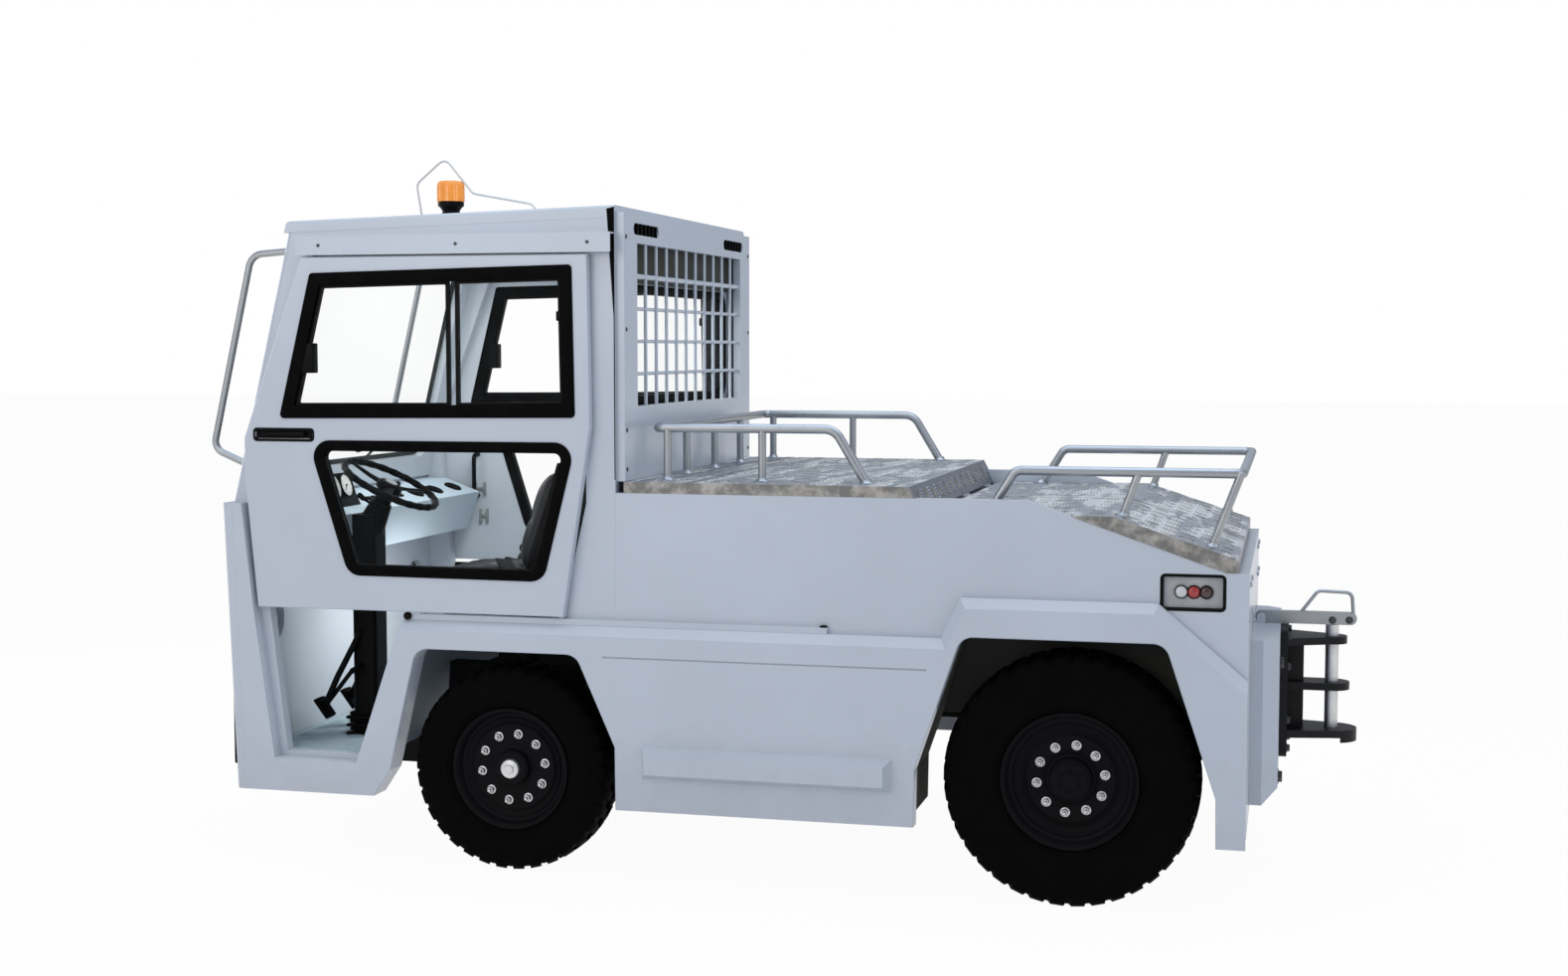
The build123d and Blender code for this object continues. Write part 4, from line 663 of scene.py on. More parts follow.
for end in ("front", "rear"):
    style = wheelStyle[end]
    for side, outward in sides:
        centre, body, name = middle(f"tyre_{end}_{side}"), f"wheel_{end}_{side}", f"{end}_{side}"
        tyre, rim, nuts, hub = newMeshes(4)
        addTyre(tyre, style, centre, outward)
        piece(f"tread_{name}", tyre, "tyreRubber", body, [f"tyre_{name}"], 32)
        addRim(rim, style, centre, outward)
        piece(f"disc_{name}", rim, "rimPaint", body, [f"rim_{name}"], 30)
        addWheelNuts(nuts, style, centre, outward)
        piece(f"nuts_{name}", nuts, "boltSteel", body)
        addHub(hub, style, centre, outward)
        piece(f"hubcap_{name}", hub, style["hubLook"], body)
print("wheels")


# Tread plate: five raised bars to a cell, turned from cell to cell

treadStyle = {"cell": 0.060, "barLong": 0.050, "barWide": 0.0066, "barHigh": 0.0018, "bars": 5,
              "margin": 0.004, "gap": 0.0012, "tile": 0.0004}


def addTread(mesh, origin, along, across, lengthU, lengthV, shift=0, keep=None):
    # bars over a rectangle: origin, two directions and their lengths; keep takes every second cell
    origin = Vector(origin)
    u, v = Vector(along).normalized(), Vector(across).normalized()
    up = u.cross(v).normalized()
    cell, bars, margin = (treadStyle[k] for k in ("cell", "bars", "margin"))
    nu, nv = (max(1, int((length - 2 * margin) / cell)) for length in (lengthU, lengthV))
    padU, padV = (lengthU - nu * cell) / 2, (lengthV - nv * cell) / 2
    pitch = cell / (bars + 0.6)
    wide = treadStyle["barWide"] / 2

    def addTile(mid, one, two, foot, head, high):
        low = [mesh.verts.new(mid + one * a + two * w) for a, w in foot]
        top = [mesh.verts.new(mid + one * a + two * w + up * high) for a, w in head]
        addSkin(mesh, [low, top])
        mesh.faces.new(top)

    for i in range(nu):
        for j in range(nv):
            turned = (i + j + shift) % 2
            if keep is not None and turned != keep:
                continue
            centre = origin + u * (padU + (i + 0.5) * cell) + v * (padV + (j + 0.5) * cell)
            one, two = (u, v) if turned else (v, u)
            square = rectangle(0, 0, cell / 2 - treadStyle["gap"], cell / 2 - treadStyle["gap"])
            addTile(centre, u, v, square, square, treadStyle["tile"])
            for b in range(bars):
                offset = (b - (bars - 1) / 2) * pitch
                long = treadStyle["barLong"] / 2 * (0.9 if b in (0, bars - 1) else 1.0)
                foot, head = ([(-long * end, 0), (-long * neck, -w), (long * neck, -w), (long * end, 0),
                               (long * neck, w), (-long * neck, w)]
                              for end, neck, w in ((1.0, 0.7, wide), (0.85, 0.62, wide * 0.5)))
                addTile(centre + two * offset, one, two, foot, head, treadStyle["barHigh"])


plate = {"rampTop": rearAxle - 0.510, "rampFoot": rearAxle - 0.468, "lidFront": rearAxle - 0.442,
         "wing": rearAxle + 0.002, "lidBreak": rearAxle + 0.124, "lidEnd": rearAxle + 0.502, "flatZ": 1.2255,
         "endZ": 1.102, "lidHalf": 0.7437, "strip": (-0.040, 0.012, 0.0024), "ribHalf": (0.022, 0.62),
         "ribZ": (-0.036, -0.006), "beamY": (0.60, 0.645), "gapShadeHalf": 0.742, "gapShadeZ": (1.196, 1.2175)}
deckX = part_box("front_deck")[0].x
flatZ, endZ, lidHalf, wing = (plate[k] for k in ("flatZ", "endZ", "lidHalf", "wing"))
lidFront, lidBreak, lidEnd = (plate[k] for k in ("lidFront", "lidBreak", "lidEnd"))
rampRun = Vector((plate["rampFoot"] - plate["rampTop"], 0, flatZ - deckTop))
lidRun = Vector((lidEnd - lidBreak, 0, endZ - flatZ))
backward, leftToRight, upright = (1, 0, 0), (0, 1, 0), (0, 0, 1)
fields = [("deck", (deckX, deckTop), backward, plate["rampTop"] - deckX, upperHalf, 0),
          ("deck", (plate["rampTop"], deckTop), rampRun, rampRun.length, lidHalf, 1),
          ("hood", (lidFront + 0.01, flatZ), backward, wing - lidFront - 0.01, lidHalf, 0),
          ("hood", (wing, flatZ), backward, lidBreak - wing, upperHalf, 0),
          ("hood", (lidBreak, flatZ), lidRun, lidRun.length, upperHalf, 1)]
for keep, look in ((0, "treadBar"), (1, "treadBarDull")):  # painted shine and shade: cells turned one way take the lighter copy of the bar colours, the others the darker copy
    bars = {"deck": bmesh.new(), "hood": bmesh.new()}
    for part, (x, z), run, length, half, shift in fields:
        addTread(bars[part], (x, -half, z), run, leftToRight, length, 2 * half, shift, keep)
    piece(f"deck_tread_{look}", bars["deck"], look, crease=20)
    piece(f"hood_tread_{look}", bars["hood"], look, "rear_hood", crease=20)
centreBar, ribs, rampGapShade = newMeshes(3)
near, far, high = plate["strip"]  # plain joint strip along the middle of the hood
addBox(centreBar, (lidFront + 0.010, near, flatZ), (lidBreak, far, flatZ + high), 0.0006)
slope = [(lidBreak, flatZ), (lidBreak, flatZ + high), (lidEnd, endZ + high), (lidEnd, endZ)]
addPlate(centreBar, slope, sidePlane(near, 1), far - near)
piece("hood_centre_strip", centreBar, "treadPlate", "rear_hood")
(ribX, ribY), (ribLow, ribHigh) = plate["ribHalf"], plate["ribZ"]
for x in (lidFront + 0.10, lidFront + 0.31, lidBreak - 0.06):  # stiffeners, seen when the hood is open
    addBox(ribs, (x - ribX, -ribY, flatZ + ribLow), (x + ribX, ribY, flatZ + ribHigh), 0.006, parts=2)
for side, outward in sides:
    addSideBox(ribs, outward, (lidFront + 0.06, lidBreak - 0.02), plate["beamY"],
               (flatZ + ribLow + 0.004, flatZ + ribHigh), 0.005, 2)
piece("hood_ribs", ribs, "whitePaintHigh", "rear_hood")
# painted shade: a dark strip down in the gap at the foot of the ramp
gapShadeX, gapShadeY, (gapShadeLow, gapShadeHigh) = plate["rampFoot"] + 0.002, plate["gapShadeHalf"], plate["gapShadeZ"]
addBox(rampGapShade, (gapShadeX, -gapShadeY, gapShadeLow), (gapShadeX + 0.004, gapShadeY, gapShadeHigh), 0.001)
piece("ramp_gap_shade", rampGapShade, "sealRubber")
print("tread plate")


# Door windows: rubber surrounds, sliding panes and latches; handles and trim

doorStyle = {
    "windows": ((fromAxle([(-804, 1504), (-684, 1989), (241, 2009), (249, 1514)]), 0.014, 0.042),
                (fromAxle([(-700, 1432), (252, 1434), (136, 977), (-558, 980)]), 0.058, 0.036)),
    "lip": 0.012,
    "panes": (fromAxle([(-752, 1545), (-652, 1949), (-190, 1959), (-190, 1549)]),
              fromAxle([(-168, 1549), (-168, 1960), (200, 1968), (207, 1556)])),
    "stile": 0.011, "latches": ((-1.4950, 1.7060, 0.046, 0.100), (-0.5995, 1.843, 0.020, 0.032)),
    "handle": (frontAxle - 0.790, 1.449, 0.107, 0.017), "inside": 0.0357,
    "clips": ((-1.558, 1.158, 0.021, 0.055), (-1.5415, 1.045, 0.014, 0.060)),
    "grip": (0.045, 1.30, 1.13), "lockCase": (0.10, 0.035),
    "kerb": ((-1.66, 0.755, 0.832), (-1.31, 0.775, 0.853)), "buffer": (-1.1475, 0.806, 0.8483),
    "hook": ((0.262, 0.286), 0.80, (0.836, 0.862)),
    "stripRivets": (-1.4459, -0.9552, -0.50), "stripZ": 2.0798,
}

for side, outward in sides:
    door = f"door_{side}"
    out = doorOut
    skin = outward * doorOut
    rubber, panes, pull, sill, grip, clips, stop = newMeshes(7)
    for corners, radius, wide in doorStyle["windows"]:
        outer, lip, inner = (roundedOutline(corners, radius, 8, i) for i in (0, doorStyle["lip"], wide))
        addFrame(rubber, outer, inner, sidePlane(skin + outward * 0.0003, outward), 0.0065, 0.003)
        addFrame(rubber, lip, inner, sidePlane(skin - outward * 0.032, outward), 0.032)
        addFrame(rubber, outer, inner, sidePlane(skin - outward * 0.0323, -outward), 0.003, 0.001)
    piece(f"window_rubber_{side}", rubber, "sealRubber", door, [f"door_frames_{side}"], 30)

    for corners in doorStyle["panes"]:
        outer, inner = (roundedOutline(corners, 0.006, 3, i) for i in (0.0, doorStyle["stile"]))
        addFrame(panes, outer, inner, sidePlane(skin - outward * 0.024, outward), 0.018, 0.001)
    for x, z, wide, high in doorStyle["latches"]:
        addSideBox(panes, outward, (x - wide / 2, x + wide / 2), (out - 0.037, out + 0.002),
                   (z - high / 2, z + high / 2), 0.004, 2)
    piece(f"pane_frames_{side}", panes, "blackPlastic", door, crease=30)

    x, z, long, high = doorStyle["handle"]
    addSideBox(pull, outward, (x - long + 0.001, x + long - 0.001), (out - 0.0195, out - 0.015),
               (z - high + 0.001, z + high - 0.001))
    outer = roundedOutline(rectangle(x, z, long + 0.006, high + 0.006), 0.014, 5)
    shrunk = [(x + (u - x) * 0.955, z + (v - z) * 0.60) for u, v in outer]
    addFrame(pull, outer, shrunk, sidePlane(skin - outward * 0.012, outward), 0.0150, 0.0015)
    addBox(pull, (x - 0.078, skin - 0.006, z - 0.003), (x + 0.078, skin + 0.006, z + 0.010), 0.004, parts=2)
    piece(f"handle_{side}", pull, "blackPlastic", door, crease=30)
    addSideBox(sill, outward, (x - long + 0.012, x + long - 0.012), (out - 0.010, out),
               (z - high + 0.0005, z - high + 0.005), 0.001)
    piece(f"handle_sill_{side}", sill, "bareSteel", door)

    inside = outward * (out - doorStyle["inside"])  # grip, lock case and clips on the inside of the door
    standoff, gripTop, gripFoot = doorStyle["grip"]
    reach = inside - outward * standoff
    addBend(grip, [(x + 0.02, inside, gripTop), (x + 0.02, reach, gripTop), (x + 0.02, reach, gripFoot),
                   (x + 0.02, inside, gripFoot)], 0.02, 0.009)
    wide, tall = doorStyle["lockCase"]
    addBox(grip, (x - wide, inside - 0.012, z - tall), (x + wide, inside + 0.012, z + tall), 0.005, parts=2)
    piece(f"door_grip_{side}", grip, "blackPlastic", door)
    for cx, cz, half, tall in doorStyle["clips"]:
        for dx in (-half, half):
            addBox(clips, (cx + dx - 0.005, inside - 0.006, cz - tall / 2),
                   (cx + dx + 0.005, inside + 0.006, cz + tall / 2), 0.002)
        addBox(clips, (cx - half, inside - 0.005, cz - 0.005), (cx + half, inside + 0.005, cz + 0.005), 0.001)
    piece(f"door_clips_{side}", clips, "greyPlastic", door)
    if side == "right":
        kerb = bmesh.new()
        addBox(kerb, *doorStyle["kerb"], 0.003)
        piece("door_sill_rubber", kerb, "sealRubber")

    fasten(f"strip_rivets_{side}", "body", "darkBolt",
           [((x, skin + outward * 0.003, doorStyle["stripZ"]), (0, outward, 0), 0.006, 0.003)
            for x in doorStyle["stripRivets"]])
    x, y, z = doorStyle["buffer"]
    addLathe(stop, [(0, 0), (0.011, 0), (0.013, 0.004), (0.013, 0.014), (0.010, 0.018), (0, 0.018)],
             (x, outward * y, z), (0, outward, 0), 20)
    (near, far), y, (low, high) = doorStyle["hook"]
    addBox(stop, (near, outward * y - 0.008, low), (far, outward * y + 0.010, high), 0.004, parts=2)
    piece(f"door_stops_{side}", stop, "blackPlastic")
print("doors")


# Windscreen and rear window rubbers, wipers

screenStyle = {"foot": (-1.80325, 1.2153), "top": (-1.58225, 2.1247), "half": 0.6627, "low": 0.095,
               "high": 0.8609, "radius": 0.060, "wiperPivots": (-0.42, 0.14), "wiperReach": 0.22,
               "back": (0, 1.750, 0.610, 0.190), "backRadius": 0.050, "backX": -0.4902}
(footX, footZ), (topX, topZ) = screenStyle["foot"], screenStyle["top"]
rise = Vector((topX - footX, 0, topZ - footZ)).normalized()
screenPlane = Matrix(((0, rise.x, -rise.z, footX), (1, 0, 0, 0), (0, rise.z, rise.x, footZ), (0, 0, 0, 1)))
half, low, high, radius = (screenStyle[k] for k in ("half", "low", "high", "radius"))
glazing, wipers = newMeshes(2)
corners = [(-half, low), (half, low), (half, high), (-half, high)]
addFrame(glazing, roundedOutline(corners, radius, 10, -0.016), roundedOutline(corners, radius, 10, 0.016),
         screenPlane @ Matrix.Translation((0, 0, -0.010)), 0.0155, 0.003)
corners, radius = rectangle(*screenStyle["back"]), screenStyle["backRadius"]
addFrame(glazing, roundedOutline(corners, radius, 10, -0.014), roundedOutline(corners, radius, 10, 0.016),
         crossPlane(screenStyle["backX"], 1), 0.0430, 0.004)
piece("glazing_rubber", glazing, "sealRubber", crease=30)

outwards = screenPlane.to_3x3() @ Vector((0, 0, 1))
reach = screenStyle["wiperReach"]
for pivot in screenStyle["wiperPivots"]:
    def spot(u, v, w):
        return screenPlane @ Vector((pivot + u, v, w))

    knuckle, blade = [(0, 0), (0.018, 0), (0.016, 0.012), (0.011, 0.022), (0, 0.024)], (0.004, 0.006, 0.004)
    addLathe(wipers, knuckle, spot(0, 0.048, 0), outwards, 20)
    addTube(wipers, [spot(0, 0.048, 0.016), spot(0.05, 0.075, 0.020), spot(0.20, 0.150, 0.022)],
            (0.008, 0.006, 0.004), 8)
    addTube(wipers, [spot(0.20 - reach, 0.128, 0.013), spot(0.20, 0.150, 0.017),
                     spot(0.20 + reach, 0.172, 0.013)], blade, 8, flat=0.6)
    addTube(wipers, [spot(0.20 - reach, 0.128, 0.0075), spot(0.20 + reach, 0.172, 0.0075)], 0.004, 6)
piece("wipers", wipers, "blackPlastic")
print("windscreen")


# Headlamps, indicators and tail lamps

lampStyle = {"y": 0.600, "z": 0.790, "r": 0.0847, "face": -1.8005, "bowl": 0.050, "flute": 0.0145,
             "indicator": (-1.8018 - (0.945 - 0.790) * 0.0389, 0.945, 0.033),
             "tail": (1.42275, 0.999, 0.095, 0.053), "lensR": 0.0175,
             "lenses": ((1.3868, "whiteLens"), (1.4245, "redLens"), (1.4617, "darkLens"))}
bezel, bowl, cover, turnLens, recessShadeAndBezels, backPlate = newMeshes(6)
face, r, z = (lampStyle[k] for k in ("face", "r", "z"))
for side, outward in sides:
    y = outward * lampStyle["y"]
    at = (face, y, z)
    addLathe(bezel, [(r, 0.008), (r, 0.0), (r + 0.006, -0.003), (r + 0.005, -0.007), (r - 0.008, -0.009),
                     (r - 0.012, -0.004), (r - 0.012, 0.004)], at, backward, 56)
    addLathe(bowl, [(r - 0.011, 0.002), (r - 0.020, 0.018), (r - 0.038, 0.034), (0.020, lampStyle["bowl"]),
                    (0.016, 0.040), (0.015, 0.020), (0.008, 0.016), (0, 0.015)], at, backward, 48)
    addLathe(cover, [(r - 0.010, -0.002), (r - 0.020, -0.008), (r - 0.045, -0.012), (0, -0.014)],
             at, backward, 48)
    for across in (k * lampStyle["flute"] for k in range(-4, 5)):  # upright flutes moulded in the lamp glass
        reach = math.sqrt((r - 0.016) ** 2 - across ** 2)
        addTube(cover, [(face - 0.0065, y + across, z - reach), (face - 0.0105, y + across, z),
                        (face - 0.0065, y + across, z + reach)], 0.0022, 6)
    turnX, turnZ, s = lampStyle["indicator"]
    at = (turnX, y, turnZ)
    addLathe(turnLens, [(s, 0.004), (s, -0.006), (s - 0.005, -0.0105), (s * 0.5, -0.0125), (0, -0.013)],
             at, backward, 36)
    addLathe(bezel, [(s + 0.006, 0.004), (s + 0.006, -0.003), (s + 0.001, -0.0045), (s + 0.001, 0.002)],
             at, backward, 36)
piece("lamp_bezels", bezel, "blackPlastic", stands=["lamps"], crease=30)
piece("lamp_bowls", bowl, "chrome", crease=60)
piece("lamp_covers", cover, "lampGlass", crease=60)
piece("indicators", turnLens, "amberLens", crease=50)

tailX, tailZ, tailLong, tailHigh = lampStyle["tail"]
s = lampStyle["lensR"]
lensMesh = {look: bmesh.new() for x, look in lampStyle["lenses"]}
for side, outward in sides:
    skin = outward * upperHalf
    box = rectangle(tailX, tailZ, tailLong, tailHigh)
    # partly painted shade: a black lining round the walls of the lamp recess; the rings round the lenses are
    # dark bezels
    addFrame(recessShadeAndBezels, roundedOutline(box, 0.012, 5, -0.004), roundedOutline(box, 0.012, 5, 0.0055),
             sidePlane(skin - outward * 0.0235, outward), 0.0262, 0.002)
    box = rectangle(tailX, tailZ, tailLong - 0.005, tailHigh - 0.005)
    addPlate(backPlate, roundedOutline(box, 0.006, 4), sidePlane(skin - outward * 0.0238, outward),
             0.009, 0.002)
    for x, look in lampStyle["lenses"]:
        at, axis = (x, skin - outward * 0.0150, tailZ + 0.001), (0, outward, 0)
        addLathe(lensMesh[look], [(s, 0), (s, 0.009), (s - 0.003, 0.0125), (s * 0.5, 0.0145), (0, 0.0152)],
                 at, axis, 32)
        addLathe(recessShadeAndBezels, [(s + 0.0035, 0), (s + 0.0035, 0.006), (s + 0.0005, 0.008), (s + 0.0005, 0)],
                 at, axis, 32)
piece("tail_lamp_recess_shade_and_bezels", recessShadeAndBezels, "blackPlastic", crease=30)
piece("tail_lamp_plates", backPlate, "lampGrey", crease=30)
for look, mesh in lensMesh.items():
    piece(f"tail_{look}", mesh, look, crease=50)
print("lamps")


# Guard, painted shade on the rear wall and at the cab joint, and vents behind the cab

guardStyle = {"back": -0.3950, "boltY": 0.7503, "boltZ": (1.345, 1.4724, 1.80, 2.10),
              "shadeSheet": (0, 2.0335, 0.66, 0.0765), "shadeSheetX": -0.4532, "vent": (0.537, 2.130, 0.135, 0.019),
              "slats": 7, "jointX": -0.4224}
fasten("guard_bolts", "body", "darkBolt",
       [((guardStyle["back"], outward * guardStyle["boltY"], z), backward, 0.0075, 0.003)
        for side, outward in sides for z in guardStyle["boltZ"]])
shadeSheetMesh, vents, jointShade = newMeshes(3)
shadeSheet = roundedOutline(rectangle(*guardStyle["shadeSheet"]), 0.02, 4)
addPlate(shadeSheetMesh, shadeSheet, crossPlane(guardStyle["shadeSheetX"], 1), 0.006, 0.002)
piece("guard_painted_shade", shadeSheetMesh, "housingPaint")  # painted shade: a dark sheet over the cab's rear window
wedge = [(-0.4480, 2.188), (-0.4228, 2.194), (-0.4228, 1.850), (-0.4262, 1.850)]
jointX = guardStyle["jointX"]
for side, outward in sides:
    y, z, long, high = guardStyle["vent"]
    y = outward * y
    addBox(vents, (-0.4225, y - long, z - high), (-0.4120, y + long, z + high))
    for k in range(guardStyle["slats"]):
        slat = y - long * 0.9 + k * long * 0.3
        addBox(vents, (-0.413, slat - 0.0025, z - high), (-0.3975, slat + 0.0025, z + high))
    # painted shade: dark strips in the joint between the cab and the body
    addPlate(jointShade, wedge, sidePlane(outward * (upperHalf - 0.002), outward), 0.0030, 0.001)
    addSideBox(jointShade, outward, (jointX - 0.0032, jointX), (0.7865, 0.7886), (1.312, 1.852))
piece("guard_vents", vents, "blackPlastic")
piece("cab_joint_shade", jointShade, "sealRubber")


# Beacon on a short stem under a bent-rod guard

beaconStyle = {"x": frontAxle - 0.534, "roof": 2.1700, "lensLow": 2.2796, "lensHigh": 2.3556, "r": 0.0505,
               "ribs": 30, "groove": 0.0018, "rodR": 0.004, "rod": fromAxle(
                   [(-642, 2167), (-670, 2347), (-556, 2440), (-446, 2308), (-217, 2266), (-146, 2183)])}
stem, lens, rod, pad = newMeshes(4)
x, zRoof, lensLow = (beaconStyle[k] for k in ("x", "roof", "lensLow"))
top = lensLow - zRoof
addLathe(pad, [(0, 0), (0.060, 0), (0.058, 0.036), (0.052, 0.042), (0, 0.042)], (x, 0, zRoof), upright, 40)
addLathe(stem, [(0, 0), (0.041, 0), (0.041, 0.052), (0.033, 0.060), (0.032, top - 0.034),
                (0.040, top - 0.022), (0.048, top - 0.016), (0.048, top - 0.001), (0, top - 0.001)],
         (x, 0, zRoof), upright, 40)
high = beaconStyle["lensHigh"] - lensLow
rings = []
steps = beaconStyle["ribs"] * 4
for share, along in ((1.0, 0), (1.0, high * 0.72), (0.97, high * 0.86), (0.86, high * 0.97), (0.6, high)):
    rings.append([])
    for k in range(steps):
        a = 2 * math.pi * k / steps
        grooved = k % 4 in (1, 2) and along < high * 0.9
        r = beaconStyle["r"] * share - (beaconStyle["groove"] if grooved else 0)
        rings[-1].append(lens.verts.new((x + r * math.cos(a), r * math.sin(a), lensLow + along)))
addSkin(lens, rings + [[lens.verts.new((x, 0, lensLow + high))]])
lens.faces.new(rings[0][::-1])
addBend(rod, [(u, 0, v) for u, v in beaconStyle["rod"]], 0.030, beaconStyle["rodR"], 12, 8)
for u, v in (beaconStyle["rod"][0], beaconStyle["rod"][-1]):
    addLathe(rod, [(0, 0), (0.016, 0), (0.016, 0.003), (0.007, 0.004), (0.006, 0.012)], (u, 0, v - 0.001),
             upright, 24)
piece("beacon_stem", stem, "blackPlastic", stands=["beacon_base"], crease=30)
piece("beacon_lens_ribbed", lens, "amberLens", stands=["beacon_lens"], crease=25)
piece("beacon_pad", pad, "whitePaintHigh")
piece("beacon_rod", rod, "paleRod")
print("guard and beacon")


# Rail feet, hitch, counterweight and tail fixings

tilted, railY = (0.3106, 0, 0.9505), (-0.69, 0.69)
railFeet = {
    "body": [((x, y, deckTop), upright) for x in (-0.27525, 0.04475, 0.38975) for y in railY]
    + [((-0.31525, y, deckTop), upright) for y in (-0.345, 0, 0.345)],
    "rear_hood": [((x, y, z), axis) for y in railY for x, z, axis in
                  ((0.7798, 1.2255, upright), (1.2024, 1.2178, tilted), (1.4765, 1.1282, tilted))],
}
for body, feet in railFeet.items():
    mesh = bmesh.new()
    for at, axis in feet:
        addLathe(mesh, [(0, 0), (0.027, 0), (0.027, 0.003), (0.021, 0.0042), (0.017, 0.008), (0.0138, 0.016)],
                 at, axis, 28)
    piece(f"rail_feet_{body}", mesh, "bareSteel", body)

fasten("hitch_bolts", "body", "darkBolt",
       [((1.70435, y, z), backward, 0.0125, 0.011)
        for y in (-0.105, 0.105) for z in (0.405, 0.50, 0.68, 0.78)])
fasten("arm_bolts", "pin_arm", "darkBolt",
       [((x, hand * 0.014, z), (0, hand, 0), 0.0095, 0.008)
        for x, z in ((1.8474, 0.8276), (1.902, 0.829)) for hand in (-1, 1)])
fasten("counterweight_bolts", "body", "darkBolt",
       [((1.679, y, z), backward, 0.019, 0.014) for y in (-0.36, 0.36) for z in (0.36, 0.73)])
fasten("tail_bolts", "body", "whitePaint",
       [((1.5898, y, z), backward, 0.009, 0.007) for y in (-0.70, -0.52, 0.52, 0.70) for z in (0.92, 1.02)])
print("fixings")


# Seats: foam pads swollen by cloth pressure, then piped and stitched

seatStyle = {"y": 0.3997, "voxel": 0.007, "pressure": 4.0, "frames": 20, "cap": 0.016, "piping": 0.0042,
             "thread": 0.0012, "seam": 0.64, "grid": 40, "rimPoints": 96}
padStyle = {"base": {"at": (frontAxle - 0.228, 0.932), "along": (1, 0, 0.03), "size": (0.205, 0.175, 0.036),
                     "channels": (-0.42, 0.12), "bolster": 0.012},
            "back": {"at": (frontAxle + 0.030, 1.150), "along": (0.322, 0, 0.947),
                     "size": (0.200, 0.195, 0.034), "channels": (-0.35, 0.25), "bolster": 0.014}}


def padGrid(wide, long, thick, bolster):
    # a crowned closed form whose sides pull in, in its own axes
    mesh = bmesh.new()
    count = seatStyle["grid"]
    levels = []
    for hand in (1, -1):
        rows = []
        for i in range(count + 1):
            rows.append([])
            for j in range(count + 1):
                u, v = 2 * i / count - 1, 2 * j / count - 1
                paintedSideReflection = max(0.0, (1 - abs(u) ** 5) * (1 - abs(v) ** 5)) ** 0.45
                lift = thick * paintedSideReflection + (bolster * max(0.0, abs(u) - 0.45) * 2.2 * paintedSideReflection if hand > 0 else 0)
                pull = 1 - 0.035 * (abs(u) < 0.999) * (1 - abs(u)) * abs(v) ** 8
                roundU = 1 - 0.10 * (abs(v) ** 6) * abs(u)
                roundV = 1 - 0.10 * (abs(u) ** 6) * abs(v)
                rows[-1].append(mesh.verts.new((u * wide * roundU, v * long * roundV * pull, hand * lift)))
        levels.append(rows)
    for rows in levels:
        for i in range(count):
            for j in range(count):
                mesh.faces.new([rows[i][j], rows[i + 1][j], rows[i + 1][j + 1], rows[i][j + 1]])
    bmesh.ops.remove_doubles(mesh, verts=mesh.verts[:], dist=1e-5)
    bmesh.ops.recalc_face_normals(mesh, faces=mesh.faces[:])
    return mesh


def swell(name, mesh):
    # voxel remesh, cloth pressure without gravity, movement capped, the result kept as plain mesh
    made = objectFrom(name, mesh)
    remesh = made.modifiers.new("remesh", "REMESH")
    remesh.mode = "VOXEL"
    remesh.voxel_size = seatStyle["voxel"]
    fine = bpy.data.meshes.new_from_object(made.evaluated_get(bpy.context.evaluated_depsgraph_get()))
    made.modifiers.clear()
    made.data = fine
    start = [v.co.copy() for v in fine.vertices]
    cloth = made.modifiers.new("foam", "CLOTH")
    cloth.settings.use_pressure = True
    cloth.settings.uniform_pressure_force = seatStyle["pressure"]
    cloth.settings.effector_weights.gravity = 0
    cloth.collision_settings.use_collision = False
    for step in range(1, seatStyle["frames"] + 1):
        bpy.context.scene.frame_set(step)
    shaped = made.evaluated_get(bpy.context.evaluated_depsgraph_get()).to_mesh()
    moved = [v.co.copy() for v in shaped.vertices]
    made.modifiers.clear()
    for vertex, before, after in zip(fine.vertices, start, moved):
        step = after - before
        vertex.co = before + step * min(1.0, seatStyle["cap"] / max(step.length, 1e-9))
    bpy.context.scene.frame_set(1)
    shape = [v.co.copy() for v in fine.vertices]
    faces = [tuple(p.vertices) for p in fine.polygons]
    bpy.data.objects.remove(made)
    return shape, faces


def dentedPad(shape, spec):
    # sewn channels across the swollen pad and a seam along each side
    wide, long = spec["size"][:2]
    result = []
    for p in shape:
        q = p.copy()
        if q.z > 0:
            for channel in spec["channels"]:
                fade = min(1, max(0, (wide * 0.62 - abs(q.x)) / 0.02))
                q.z -= 0.0075 * math.exp(-((q.y - channel * long) / 0.010) ** 2) * fade
            q.z -= 0.0055 * math.exp(-((abs(q.x) - wide * seatStyle["seam"]) / 0.009) ** 2)
        result.append(q)
    return result


